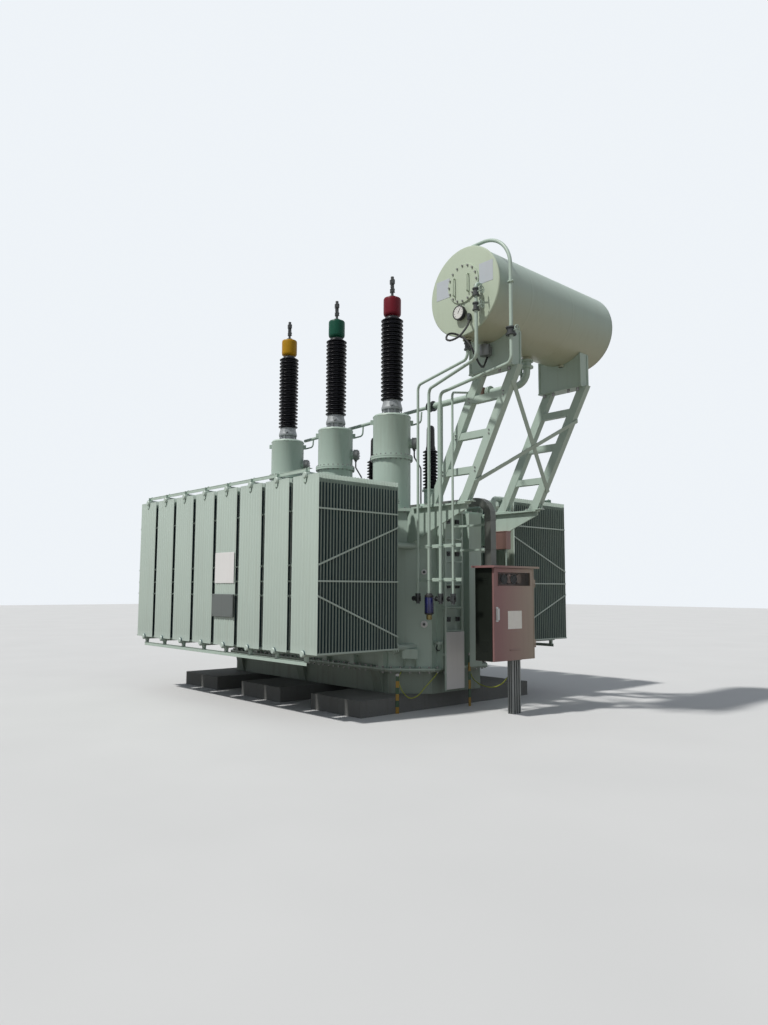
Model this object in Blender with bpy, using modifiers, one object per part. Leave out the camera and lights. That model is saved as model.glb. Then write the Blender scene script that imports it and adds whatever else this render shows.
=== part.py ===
"""Outdoor power transformer with panel radiators, an oil conservator and a control cabinet.

Metres, +Z up, the gravel line at zero. The pieces are placed from the middle of the tank:
+X runs along the tank to the end with the ladder, the conservator and the cabinet,
-Y is the high voltage side. The origin is under the middle of the tank.
"""

import math

import bmesh
import bpy
from mathutils import Matrix, Vector

# Clearances
SEAT = 0.0003
SWING_GAP = 0.005
PIN_GAP = 0.0005
SINK = 0.004

# Concrete strips under the tank
STRIP_HEIGHT = 0.20
STRIP_LENGTH = 3.24
STRIP_WIDTH = 1.00
STRIP_PITCH = 1.70

# Tank, a bell on a shallow trough with cut-off corners
TANK_LENGTH = 4.55
TANK_WIDTH = 1.75
TANK_CORNER_CUT = 0.40
TROUGH_HEIGHT = 0.31
FLANGE_THICK = 0.022
FLANGE_REACH = 0.10
BELL_HEIGHT = 2.087
COVER_THICK = 0.022
COVER_REACH = 0.05
RIM_THICK = 0.018
RIB_WIDTH = 0.10
RIB_DEPTH = 0.07
END_RIB_WIDTH = 0.25
END_RIB_DEPTH = 0.12
END_RIB_Y = 0.257
JACK_PAD = 0.20
JACK_REACH = 0.14
JACK_THICK = 0.12
JACK_HEIGHT = 0.15
GUSSET_WIDTH = 0.16
GUSSET_TOE = 0.02
GUSSET_INSET = 0.01

# Radiators, eight on each long side
RADIATORS = 8
RADIATOR_PITCH = 0.60
RADIATOR_WIDTH = 0.52
RADIATOR_BOTTOM = 0.80
RADIATOR_HEIGHT = 2.09
RADIATOR_REACH = 2.415
SHEETS = 10
BANK_STAND_OFF = 0.28
SHEET_THICK = 0.010
HEADER_WIDTH = 0.10
HEADER_HEIGHT = 0.07
NECK_DROP = 0.14
NECK_STAND_OFF = 0.085
NECK_CHAMFER = 0.03
NECK_CLEARANCE = 0.02

# Tie bars along the radiators
TIE_SIZE = 0.05
TIE_STAND = 0.045
TIE_INSET = 0.06
LUG_WIDTH = 0.05

# High voltage turrets and bushings
PHASE_PITCH = 1.315
PHASE_INSET = 0.56
TURRET_RADIUS = 0.272
TURRET_FLANGE_RADIUS = 0.305
TURRET_JOINT = 0.80
TURRET_HEIGHT = 1.43
TURRET_RIM_REACH = 0.015
TURRET_RIM_THICK = 0.02
TURRET_STEPS = 16
JOINT_THICK = 0.045
CT_BOX_RADIUS = 0.085
CT_BOX_REACH = 0.10
CT_BOX_RISE = 1.02
CT_BOX_ANGLE = math.radians(40)
CT_BOX_ROOT = 0.03
BUSHING_FOOT_RADIUS = 0.150
BUSHING_NECK_RADIUS = 0.115
BUSHING_FOOT_HEIGHT = 0.24
BUSHING_COLLAR_BOTTOM = 0.085
BUSHING_COLLAR_EDGE = 0.025
BUSHING_BASE_THICK = 0.02
SHEDS = 19
SHED_RADIUS = 0.160
SHED_CORE_RADIUS = 0.122
SHED_LENGTH = 1.21
BUSHING_STEPS = 8
CAP_RADIUS = 0.130
CAP_FOOT_RADIUS = 0.095
CAP_FOOT_HEIGHT = 0.035
CAP_HEIGHT = 0.325
TERMINAL_RADIUS = 0.022
TERMINAL_HEIGHT = 0.33
CAP_STEPS = 12

# Low voltage bushings
LOW_PITCH = 1.30
LOW_INSET = 0.375
LOW_STAND_RADIUS = 0.13
LOW_STAND_HEIGHT = 0.43
LOW_RADIUS = 0.12
LOW_CORE_RADIUS = 0.085
LOW_LENGTH = 0.60
LOW_SHEDS = 8
LOW_BOOT_RADIUS = 0.065
LOW_BOOT_HEIGHT = 0.38
LOW_STEPS = 8

# Conservator on two leaning frames
DRUM_X = 3.567
DRUM_Z = 5.013
DRUM_RADIUS = 0.515
DRUM_LENGTH = 2.46
DOME_DEPTH = 0.15
END_PLATE_THICK = 0.02
MANHOLE_RADIUS = 0.225
MANHOLE_RISE = 0.10
MANHOLE_THICK = 0.03
END_PLATE_REACH = 0.03
DRUM_STEPS = 28
FRAME_INSET = 0.175
FRAME_DEPTH = 0.09
LEG_WIDTH = 0.115
LEG_FOOT_X = 2.535
LEG_SPACING = 0.54
LEG_LEAN = 0.526
SADDLE_LENGTH = 0.64
SADDLE_DEPTH = 0.16
SADDLE_BOTTOM = 4.165
RUNG_HEIGHT = 0.085
FRAME_RUNGS = 3
BRACE_WIDTH = 0.055
BRACE_THICK = 0.008
BRACE_TOP = 4.00
BRACE_CROSS_TOP = 3.75
BRACE_BOTTOM = 2.85

# Cantilever brackets on the end of the tank
BRACKET_REACH = 3.12
BRACKET_ROOT_DEPTH = 0.45
BRACKET_TIP_DEPTH = 0.07
BRACKET_WEB = 0.02
BRACKET_FLANGE = 0.11
BRACKET_PLATE = 0.02
BRACKET_HEEL = 0.10
JUNCTION_X = 2.54
JUNCTION_SIZE = 0.24
JUNCTION_DEPTH = 0.10
JUNCTION_TOP = 2.35

# Oil pipe from the cover to the conservator, with its gas relay, and the gas pipe
OIL_PIPE_Y = 0.035
OIL_PIPE_Z = 4.17
OIL_PIPE_RADIUS = 0.045
OIL_PIPE_BACK_X = 1.95
OIL_PIPE_FRONT_X = 3.48
OIL_PIPE_BEND = 0.16
OIL_PIPE_STUB = 0.09
RISER_RADIUS = 0.040
PIPE_FLANGE_RADIUS = 0.085
PIPE_FLANGE_THICK = 0.04
PIPE_FLANGE_GAP = 0.05
RELAY_X = 2.70
RELAY_LENGTH = 0.24
RELAY_SIZE = 0.16
GAS_PIPE_RADIUS = 0.026
GAS_PIPE_BACK_X = -1.30
GAS_PIPE_BACK_Z = 4.10
GAS_PIPE_GAP = 0.003
GAS_BRANCH_RADIUS = 0.014
GAS_BRANCH_BEND = 0.015
GAS_BRANCH_SHIFT = 0.02
GAS_BRANCH_INSET = 0.03
NOZZLE_DROP = 0.03
OIL_NOZZLE_RADIUS = 0.06
NOZZLE_ROOT = 0.06

# Four pipes beside the near bracket, in a row along X
PIPE_ROW_OUT = 0.11
PIPE_FOOT_Z = 1.50
FILL_PIPE_X = 2.36
FILL_PIPE_RADIUS = 0.018
FILL_PIPE_TOP = 4.21
FILL_NOZZLE_SHIFT = 0.07
BREATHER_PIPE_X = 2.56
BREATHER_PIPE_RADIUS = 0.020
BREATHER_PIPE_TOP = 4.12
VENT_PIPE_X = 2.76
VENT_PIPE_RADIUS = 0.026
VENT_PIPE_TOP = 4.03
SAMPLE_PIPE_X = 2.97
SAMPLE_PIPE_RADIUS = 0.015
SAMPLE_PIPE_TOP = 4.00
SAMPLE_RUN = 0.25
SAMPLE_SHIFT = 0.05
SAMPLE_DROP = 0.04
PIPE_FALL = 0.04
SMALL_BEND = 0.08
BREATHER_TOP_BEND = 0.048
VENT_BEND = 0.42
VENT_END_BEND = 0.05
VENT_SIDE_GAP = 0.10
VENT_RISE = 0.10
NOZZLE_INSET = 0.12
NOZZLE_RADIUS = 0.045
UPRIGHT_OUT = 0.08
UPRIGHT_SHIFT = 0.26
UPRIGHT_DROP = 0.09
PIPE_BAR_HEIGHT = 0.045
PIPE_BAR_THICK = 0.02
PIPE_BAR_END = 3.08
PIPE_BAR_LEVELS = (1.67, 2.09)
BREATHER_RADIUS = 0.058
BREATHER_HEIGHT = 0.33
BREATHER_END_RADIUS = 0.036
BREATHER_SHOULDER = 0.03
BREATHER_CUP = 0.08
BREATHER_CUP_TOP = 0.07
BREATHER_STEPS = 14

# Ladder on the end of the tank
LADDER_X = 2.47
LADDER_WIDTH = 0.32
LADDER_BOTTOM = 0.26
LADDER_TOP = 2.60
LADDER_RAIL = 0.016
RUNG_PITCH = 0.30
RUNG_RADIUS = 0.011
FIRST_RUNG = 0.15
STAY_RUNGS = (1, 3, 6)
STAY_WIDTH = 0.08
STAY_THICK = 0.04

# Control cabinet on its post
CABINET_FRONT_X = 3.285
CABINET_DEPTH = 0.27
CABINET_WIDTH = 0.80
CABINET_Y = -0.055
CABINET_BOTTOM = 0.68
CABINET_HEIGHT = 1.14
CABINET_WALL = 0.003
ROOF_THICK = 0.025
ROOF_REACH = 0.05
DOOR_THICK = 0.020
DOOR_WINDOW_WIDTH = 0.64
DOOR_WINDOW_HEIGHT = 0.165
DOOR_WINDOW_DROP = 0.05
WINDOW_THICK = 0.004
HANDLE_WIDTH = 0.03
HANDLE_HEIGHT = 0.14
HANDLE_REACH = 0.03
HANDLE_INSET = 0.06
HINGE_OUT = 0.020
KNUCKLE_RADIUS = 0.012
KNUCKLE_HEIGHT = 0.05
PIN_RADIUS = 0.005
HINGE_INSET = 0.14
GAUGE_RADIUS = 0.06
GAUGE_DEPTH = 0.05
GAUGE_OFFSETS = (0.005, 0.20)
GAUGE_SHELF_INSET = 0.11
GAUGE_SHELF_THICK = 0.004
GAUGE_SHELF_MARGIN = 0.01
POST_Y = 0.12
POST_WIDTH = 0.16
POST_DEPTH = 0.09
POST_GROOVE = 0.03
POST_LIP = 0.02
DUCT_WIDTH = 0.10
DUCT_HEIGHT = 0.10
DUCT_BACK_X = 1.70
DUCT_DROP_X = 3.11
DUCT_BEND = 0.20
DUCT_Y = -0.27

# Heights and the hinge line that follow from the sizes above
TROUGH_BOTTOM = STRIP_HEIGHT + SEAT
TROUGH_TOP = TROUGH_BOTTOM + TROUGH_HEIGHT
BELL_BOTTOM = TROUGH_TOP + SEAT
BELL_TOP = BELL_BOTTOM + BELL_HEIGHT
COVER_BOTTOM = BELL_TOP + SEAT
COVER_TOP = COVER_BOTTOM + COVER_THICK
TURRET_TOP = COVER_TOP + SEAT + TURRET_HEIGHT
DOOR_BACK_X = CABINET_FRONT_X + SWING_GAP
DOOR_FRONT_X = DOOR_BACK_X + DOOR_THICK
HINGE_X = (DOOR_BACK_X + DOOR_FRONT_X) / 2
HINGE_Y = CABINET_Y + CABINET_WIDTH / 2 + HINGE_OUT

# Places across the tank that follow from its width
BANK_INNER = TANK_WIDTH / 2 + BANK_STAND_OFF
BANK_DEPTH = RADIATOR_REACH - BANK_INNER
PHASE_Y = PHASE_INSET - TANK_WIDTH / 2
LOW_Y = TANK_WIDTH / 2 - LOW_INSET
FRAME_Y = TANK_WIDTH / 2 - FRAME_INSET
PIPE_ROW_Y = -FRAME_Y - PIPE_ROW_OUT

for old in list(bpy.data.objects):
    bpy.data.objects.remove(old, do_unlink=True)

PARTS = bpy.data.collections.new("power_transformer")
CUTTERS = bpy.data.collections.new("cutters")
bpy.context.scene.collection.children.link(PARTS)
bpy.context.scene.collection.children.link(CUTTERS)


def material(name, colour, roughness, metallic=0.0):
    """A plain surface for one kind of finish."""
    made = bpy.data.materials.new(name)
    made.use_nodes = True
    shader = made.node_tree.nodes["Principled BSDF"]
    shader.inputs["Base Color"].default_value = (*colour, 1)
    shader.inputs["Roughness"].default_value = roughness
    shader.inputs["Metallic"].default_value = metallic
    return made


PAINT = material("pale_green_grey_paint", (0.49, 0.56, 0.49), 0.5)
CONCRETE = material("concrete", (0.36, 0.36, 0.35), 0.9)
PORCELAIN = material("dark_brown_porcelain", (0.035, 0.02, 0.02), 0.25)
STEEL = material("bright_steel", (0.55, 0.56, 0.56), 0.35, 1.0)
GALVANISED = material("galvanised_steel", (0.45, 0.47, 0.48), 0.5, 1.0)
STAINLESS = material("cabinet_stainless_steel", (0.52, 0.42, 0.39), 0.35, 1.0)
PHASE_YELLOW = material("phase_yellow", (0.72, 0.47, 0.03), 0.4)
PHASE_GREEN = material("phase_green", (0.01, 0.22, 0.11), 0.4)
PHASE_RED = material("phase_red", (0.38, 0.02, 0.04), 0.4)
GLASS = material("window_glass", (0.06, 0.07, 0.07), 0.1)
BREATHER_BLUE = material("breather_blue", (0.03, 0.03, 0.14), 0.25)


def keep(made, finish):
    """Put a finished piece with the parts and give it its surface."""
    PARTS.objects.link(made)
    made.data.materials.clear()
    made.data.materials.append(finish)
    return made


def tool(made):
    """Put a shape that only joins or cuts another with the cutters."""
    CUTTERS.objects.link(made)
    made.hide_render = True
    made.display_type = "WIRE"
    return made


def from_bmesh(name, shape):
    mesh = bpy.data.meshes.new(name)
    bmesh.ops.recalc_face_normals(shape, faces=shape.faces)
    shape.to_mesh(mesh)
    shape.free()
    return bpy.data.objects.new(name, mesh)


def add_box(shape, low, high):
    """Add a box between two corners to a mesh."""
    corners = [
        shape.verts.new((x, y, z))
        for x in (low[0], high[0]) for y in (low[1], high[1]) for z in (low[2], high[2])]
    for side in ((0, 1, 3, 2), (4, 6, 7, 5), (0, 4, 5, 1), (2, 3, 7, 6), (0, 2, 6, 4), (1, 5, 7, 3)):
        shape.faces.new([corners[index] for index in side])
    return corners


def boxes(name, corners):
    """One mesh of boxes, each given by its low and high corner."""
    shape = bmesh.new()
    for low, high in corners:
        add_box(shape, low, high)
    return from_bmesh(name, shape)


def add_rod(shape, start, end, radius, steps):
    """Add a round rod between two points to a mesh."""
    start = Vector(start)
    end = Vector(end)
    along = end - start
    turn = along.to_track_quat("Z", "Y").to_matrix().to_4x4()
    place = Matrix.Translation((start + end) / 2) @ turn
    bmesh.ops.create_cone(
        shape, cap_ends=True, segments=steps, radius1=radius, radius2=radius,
        depth=along.length, matrix=place)


def rods(name, runs, steps):
    """One mesh of rods, each given by its start, end and radius."""
    shape = bmesh.new()
    for start, end, radius in runs:
        add_rod(shape, start, end, radius, steps)
    return from_bmesh(name, shape)


def turned(name, profile, steps):
    """A body of revolution from (radius, height) points, top to bottom."""
    mesh = bpy.data.meshes.new(name)
    points = [(radius, 0, height) for radius, height in profile]
    edges = [(index, index + 1) for index in range(len(points) - 1)]
    mesh.from_pydata(points, edges, [])
    made = bpy.data.objects.new(name, mesh)
    screw = made.modifiers.new("turn", "SCREW")
    screw.steps = steps
    screw.render_steps = steps
    screw.use_merge_vertices = True
    screw.merge_threshold = 0.00001
    return made


def outline(name, points, thickness, axis):
    """A flat plate from its outline, square to the X, Y or Z axis."""
    curve = bpy.data.curves.new(name, "CURVE")
    curve.dimensions = "2D"
    curve.fill_mode = "BOTH"
    curve.extrude = thickness / 2
    spline = curve.splines.new("POLY")
    spline.points.add(len(points) - 1)
    for point, (across, up) in zip(spline.points, points):
        point.co = (across, up, 0, 1)
    spline.use_cyclic_u = True
    made = bpy.data.objects.new(name, curve)
    if axis == "Y":
        made.rotation_euler = (math.pi / 2, 0, 0)
    if axis == "X":
        made.rotation_euler = (math.pi / 2, 0, math.pi / 2)
    return made


def meshed(made):
    """The curve's own closed mesh, for joining and cutting."""
    PARTS.objects.link(made)
    bpy.context.view_layer.update()
    shape_of = bpy.context.evaluated_depsgraph_get()
    mesh = bpy.data.meshes.new_from_object(made.evaluated_get(shape_of))
    shape = bmesh.new()
    shape.from_mesh(mesh)
    bmesh.ops.remove_doubles(shape, verts=shape.verts, dist=0.00001)
    bmesh.ops.recalc_face_normals(shape, faces=shape.faces)
    shape.to_mesh(mesh)
    shape.free()
    solid = bpy.data.objects.new(made.name + "_solid", mesh)
    solid.matrix_world = made.matrix_world
    name = made.name
    bpy.data.objects.remove(made, do_unlink=True)
    solid.name = name
    return solid


def rounded(points, bends, steps=4):
    """The points of a path whose corners are turned with arcs of the given radii."""
    route = [Vector(points[0])]
    for before, corner, after, radius in zip(points, points[1:], points[2:], bends):
        corner = Vector(corner)
        back = (Vector(before) - corner).normalized()
        ahead = (Vector(after) - corner).normalized()
        half = back.angle(ahead) / 2
        reach = radius / math.tan(half)
        middle = corner + (back + ahead).normalized() * (radius / math.sin(half))
        start = (corner + back * reach - middle).normalized()
        end = (corner + ahead * reach - middle).normalized()
        for step in range(steps + 1):
            route.append(middle + start.slerp(end, step / steps) * radius)
    route.append(Vector(points[-1]))
    return route


def tube(name, route, radius):
    """A round pipe along a route, closed at both ends."""
    curve = bpy.data.curves.new(name, "CURVE")
    curve.dimensions = "3D"
    curve.bevel_depth = radius
    curve.bevel_resolution = 2
    curve.use_fill_caps = True
    spline = curve.splines.new("POLY")
    spline.points.add(len(route) - 1)
    for point, place in zip(spline.points, route):
        point.co = (*place, 1)
    return bpy.data.objects.new(name, curve)


def combine(made, other, operation="UNION"):
    """Join another shape to a piece, or cut it away."""
    if other.name not in CUTTERS.objects:
        tool(other)
    change = made.modifiers.new(operation.lower(), "BOOLEAN")
    change.operation = operation
    change.solver = "EXACT"
    change.object = other
    return made


def round_shading(made):
    made.data.shade_smooth()
    made.data.set_sharp_from_angle(angle=math.radians(40))


def tank_outline(reach):
    """The tank's plan with its corners cut off, grown outwards by a reach."""
    half_length = TANK_LENGTH / 2 + reach
    half_width = TANK_WIDTH / 2 + reach
    cut = TANK_CORNER_CUT + reach * (2 - math.sqrt(2))
    return [
        (half_length, half_width - cut), (half_length - cut, half_width),
        (cut - half_length, half_width), (-half_length, half_width - cut),
        (-half_length, cut - half_width), (cut - half_length, -half_width),
        (half_length - cut, -half_width), (half_length, cut - half_width)]


def corner_sum():
    """x plus y anywhere on the wall of a cut-off corner."""
    return TANK_LENGTH / 2 + TANK_WIDTH / 2 - TANK_CORNER_CUT


def slab(name, reach, bottom, top):
    """A flat layer of the tank's plan between two heights."""
    made = outline(name, tank_outline(reach), top - bottom, "Z")
    made.location.z = (bottom + top) / 2
    return meshed(made)


def concrete_strips():
    half_width = STRIP_WIDTH / 2
    half_length = STRIP_LENGTH / 2
    for name, x in (("plinth_near", STRIP_PITCH), ("plinth_middle", 0), ("plinth_far", -STRIP_PITCH)):
        keep(boxes(name, [
            ((x - half_width, -half_length, 0), (x + half_width, half_length, STRIP_HEIGHT))]), CONCRETE)


def foot_gusset(name, x, side):
    """A tapered gusset between the trough's flange and its bottom edge."""
    wall = TANK_WIDTH / 2 - SINK
    flange = TANK_WIDTH / 2 + FLANGE_REACH - GUSSET_INSET
    top = TROUGH_TOP - FLANGE_THICK + SINK
    shape = outline(name, [
        (side * wall, TROUGH_BOTTOM + SINK), (side * (wall + GUSSET_TOE), TROUGH_BOTTOM + SINK),
        (side * flange, top), (side * wall, top)], GUSSET_WIDTH, "X")
    shape.location.x = x
    return meshed(shape)


def tank_trough():
    """The shallow lower tank with its flange and gussets."""
    made = keep(slab("tank_trough", 0, TROUGH_BOTTOM, TROUGH_TOP), PAINT)
    combine(made, slab("trough_flange", FLANGE_REACH, TROUGH_TOP - FLANGE_THICK, TROUGH_TOP))
    for x in (-STRIP_PITCH, 0, STRIP_PITCH):
        for side in (-1, 1):
            combine(made, foot_gusset("trough_gusset", x, side))


def tank_bell():
    """The upper tank with its flange, rim, ribs and jacking pads."""
    made = keep(slab("tank_bell", 0, BELL_BOTTOM, BELL_TOP), PAINT)
    combine(made, slab("bell_flange", FLANGE_REACH, BELL_BOTTOM, BELL_BOTTOM + FLANGE_THICK))
    combine(made, slab("bell_rim", COVER_REACH, BELL_TOP - RIM_THICK, BELL_TOP))
    ribs = []
    rib_bottom = BELL_BOTTOM + FLANGE_THICK / 2
    rib_top = BELL_TOP - RIM_THICK / 2
    side_wall = TANK_WIDTH / 2
    for index in range(RADIATORS - 1):
        x = (index - (RADIATORS - 2) / 2) * RADIATOR_PITCH
        for side in (-1, 1):
            inner = side * (side_wall - SINK)
            outer = side * (side_wall + RIB_DEPTH)
            ribs.append((
                (x - RIB_WIDTH / 2, min(inner, outer), rib_bottom),
                (x + RIB_WIDTH / 2, max(inner, outer), rib_top)))
    end_wall = TANK_LENGTH / 2
    for end in (-1, 1):
        inner = end * (end_wall - SINK)
        outer = end * (end_wall + END_RIB_DEPTH)
        for side in (-1, 1):
            y = side * END_RIB_Y
            ribs.append((
                (min(inner, outer), y - END_RIB_WIDTH / 2, rib_bottom),
                (max(inner, outer), y + END_RIB_WIDTH / 2, rib_top)))
    combine(made, boxes("bell_ribs", ribs))
    combine(made, jacking_pads())


def jacking_pads():
    """One bracket for a jack on each cut-off corner."""
    shape = bmesh.new()
    bottom = BELL_BOTTOM + JACK_HEIGHT
    along = TANK_LENGTH / 2 - TANK_CORNER_CUT / 2
    across = TANK_WIDTH / 2 - TANK_CORNER_CUT / 2
    for x_side in (-1, 1):
        for y_side in (-1, 1):
            centre = Vector((x_side * along, y_side * across, 0))
            angle = math.atan2(y_side, x_side)
            turn = Matrix.Translation(centre) @ Matrix.Rotation(angle, 4, "Z")
            verts = add_box(
                shape, (-SINK, -JACK_PAD / 2, bottom), (JACK_REACH, JACK_PAD / 2, bottom + JACK_THICK))
            bmesh.ops.transform(shape, matrix=turn, verts=verts)
    return from_bmesh("jacking_pads", shape)


def tank_cover():
    keep(slab("tank_cover", COVER_REACH, COVER_BOTTOM, COVER_TOP), PAINT)


def swan_neck(start, high, top):
    """The bent pipe from the tank's wall, at a height below its rim, up to a top header."""
    low = high - HEADER_HEIGHT
    inner = TANK_WIDTH / 2 + NECK_STAND_OFF
    outer = inner + HEADER_HEIGHT
    return meshed(outline("swan_neck", [
        (start, low), (outer - NECK_CHAMFER, low), (outer, low + NECK_CHAMFER), (outer, top),
        (inner + NECK_CHAMFER, top), (inner, top - NECK_CHAMFER), (inner, high), (start, high)],
        HEADER_WIDTH - 2 * SINK, "X"))


def radiator_mesh(x, neck_top):
    """Sheets between two headers whose ends follow the tank's wall at a place along it."""
    top = RADIATOR_BOTTOM + RADIATOR_HEIGHT
    half = HEADER_WIDTH / 2
    start = TANK_WIDTH / 2 - TANK_CORNER_CUT
    headers = boxes("radiator_headers", [
        ((-half, TANK_WIDTH / 2 + NECK_STAND_OFF + 2 * SINK, top - HEADER_HEIGHT),
         (half, RADIATOR_REACH, top)),
        ((-half, start, RADIATOR_BOTTOM), (half, RADIATOR_REACH, RADIATOR_BOTTOM + HEADER_HEIGHT))])
    spacing = (BANK_DEPTH - SHEET_THICK) / (SHEETS - 1)
    sheets = boxes("radiator_sheets", [
        ((-RADIATOR_WIDTH / 2, BANK_INNER + index * spacing, RADIATOR_BOTTOM + HEADER_HEIGHT),
         (RADIATOR_WIDTH / 2, BANK_INNER + index * spacing + SHEET_THICK, top - HEADER_HEIGHT))
        for index in range(SHEETS)])
    neck = swan_neck(start, neck_top, top - SINK)
    tank_space = slab("tank_space", SEAT, RADIATOR_BOTTOM - SINK, BELL_TOP)
    tank_space.location.x = -x
    PARTS.objects.link(headers)
    combine(headers, sheets)
    combine(headers, neck)
    combine(headers, tank_space, "DIFFERENCE")
    bpy.context.view_layer.update()
    shape_of = bpy.context.evaluated_depsgraph_get()
    mesh = bpy.data.meshes.new_from_object(headers.evaluated_get(shape_of))
    for used in (headers, sheets, neck, tank_space):
        bpy.data.objects.remove(used, do_unlink=True)
    return mesh


def radiator_x(index):
    return ((RADIATORS - 1) / 2 - index) * RADIATOR_PITCH


def radiators():
    """Both banks share their meshes, turned about for the high voltage side.

    Only the end ones differ: they run on to the cut-off corners, with the neck under the bracket.
    """
    end_neck_top = COVER_TOP - BRACKET_ROOT_DEPTH - NECK_CLEARANCE
    middle = radiator_mesh(0, BELL_TOP - NECK_DROP + HEADER_HEIGHT / 2)
    first = radiator_mesh(radiator_x(0), end_neck_top)
    last = radiator_mesh(radiator_x(RADIATORS - 1), end_neck_top)
    for index in range(RADIATORS):
        for prefix, turn, near_end, far_end in (("hv", math.pi, last, first), ("lv", 0, first, last)):
            mesh = {0: near_end, RADIATORS - 1: far_end}.get(index, middle)
            made = bpy.data.objects.new(f"{prefix}_radiator_{index + 1}", mesh)
            made.location.x = radiator_x(index)
            made.rotation_euler.z = turn
            keep(made, PAINT)


def tie_bars():
    """A bar over and under each bank, with a short stand on every header."""
    y_outer = RADIATOR_REACH - TIE_INSET
    top = RADIATOR_BOTTOM + RADIATOR_HEIGHT + SEAT
    bottom = RADIATOR_BOTTOM - SEAT
    end = radiator_x(0) + LUG_WIDTH / 2
    for prefix, side in (("hv", -1), ("lv", 1)):
        near = side * (y_outer - TIE_SIZE)
        far = side * y_outer
        low_y, high_y = min(near, far), max(near, far)
        for name, start, sign in ((f"{prefix}_top_tie", top, 1), (f"{prefix}_bottom_tie", bottom, -1)):
            bar_near = start + sign * TIE_STAND
            bar_far = bar_near + sign * TIE_SIZE
            low_z, high_z = min(bar_near, bar_far), max(bar_near, bar_far)
            made = keep(boxes(name, [((-end, low_y, low_z), (end, high_y, high_z))]), PAINT)
            stand_far = bar_near + sign * SINK
            stands = boxes(name + "_stands", [
                ((radiator_x(index) - LUG_WIDTH / 2 + SINK, low_y + SINK, min(start, stand_far)),
                 (radiator_x(index) + LUG_WIDTH / 2 - SINK, high_y - SINK, max(start, stand_far)))
                for index in range(RADIATORS)])
            combine(made, stands)


def turret(name, x):
    """A round turret in two lengths with its bolted joint and a current transformer box."""
    top = TURRET_HEIGHT
    rim = TURRET_RADIUS + TURRET_RIM_REACH
    joint_top = TURRET_JOINT + JOINT_THICK / 2
    joint_bottom = TURRET_JOINT - JOINT_THICK / 2
    made = turned(name, [
        (0, top), (rim, top), (rim, top - TURRET_RIM_THICK),
        (TURRET_RADIUS, top - TURRET_RIM_THICK), (TURRET_RADIUS, joint_top),
        (TURRET_FLANGE_RADIUS, joint_top), (TURRET_FLANGE_RADIUS, joint_bottom),
        (TURRET_RADIUS, joint_bottom), (TURRET_RADIUS, 0), (0, 0)], TURRET_STEPS)
    made.location = (x, PHASE_Y, COVER_TOP + SEAT)
    keep(made, PAINT)
    centre = Vector((x, PHASE_Y, COVER_TOP + CT_BOX_RISE))
    out = Vector((math.cos(CT_BOX_ANGLE), math.sin(CT_BOX_ANGLE), 0))
    box = rods(name + "_box", [
        (centre + out * (TURRET_RADIUS - CT_BOX_ROOT), centre + out * (TURRET_RADIUS + CT_BOX_REACH),
         CT_BOX_RADIUS)], 12)
    combine(made, box)
    round_shading(made)


def shed_profile(core, rim, length, count, top):
    """Core and rim points of a stack of sheds, top to bottom."""
    points = [(core, top)]
    pitch = length / count
    for index in range(count):
        ceiling = top - index * pitch
        points.append((rim, ceiling - pitch * 0.62))
        points.append((core, ceiling - pitch * 0.80 if index < count - 1 else top - length))
    return points


def bushing(name, cap_name, x, phase_colour):
    """A shedded bushing on its metal foot, with a coloured cap and a terminal."""
    foot = BUSHING_FOOT_HEIGHT
    top = foot + SHED_LENGTH
    profile = [(0, top)]
    profile += shed_profile(SHED_CORE_RADIUS, SHED_RADIUS, SHED_LENGTH, SHEDS, top)
    collar = BUSHING_COLLAR_BOTTOM
    base = BUSHING_BASE_THICK
    profile += [
        (BUSHING_NECK_RADIUS, foot), (BUSHING_FOOT_RADIUS, collar + BUSHING_COLLAR_EDGE),
        (BUSHING_FOOT_RADIUS, collar), (BUSHING_NECK_RADIUS, collar), (BUSHING_NECK_RADIUS, base),
        (BUSHING_FOOT_RADIUS, base), (BUSHING_FOOT_RADIUS, 0), (0, 0)]
    made = turned(name, profile, BUSHING_STEPS)
    made.location = (x, PHASE_Y, TURRET_TOP + SEAT)
    keep(made, PORCELAIN)
    round_shading(made)
    cap_bottom = TURRET_TOP + 2 * SEAT + top
    cap = turned(cap_name, [
        (0, CAP_HEIGHT + TERMINAL_HEIGHT), (TERMINAL_RADIUS, CAP_HEIGHT + TERMINAL_HEIGHT),
        (TERMINAL_RADIUS, CAP_HEIGHT), (CAP_RADIUS * 0.82, CAP_HEIGHT), (CAP_RADIUS, CAP_HEIGHT * 0.93),
        (CAP_RADIUS, CAP_HEIGHT * 0.2), (CAP_FOOT_RADIUS, CAP_FOOT_HEIGHT), (CAP_FOOT_RADIUS, 0),
        (0, 0)], CAP_STEPS)
    cap.location = (x, PHASE_Y, cap_bottom)
    keep(cap, phase_colour)
    round_shading(cap)


def high_voltage():
    for letter, index, colour in (("a", -1, PHASE_YELLOW), ("b", 0, PHASE_GREEN), ("c", 1, PHASE_RED)):
        x = index * PHASE_PITCH
        turret(f"hv_turret_{letter}", x)
        bushing(f"hv_bushing_{letter}", f"hv_cap_{letter}", x, colour)


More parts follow.
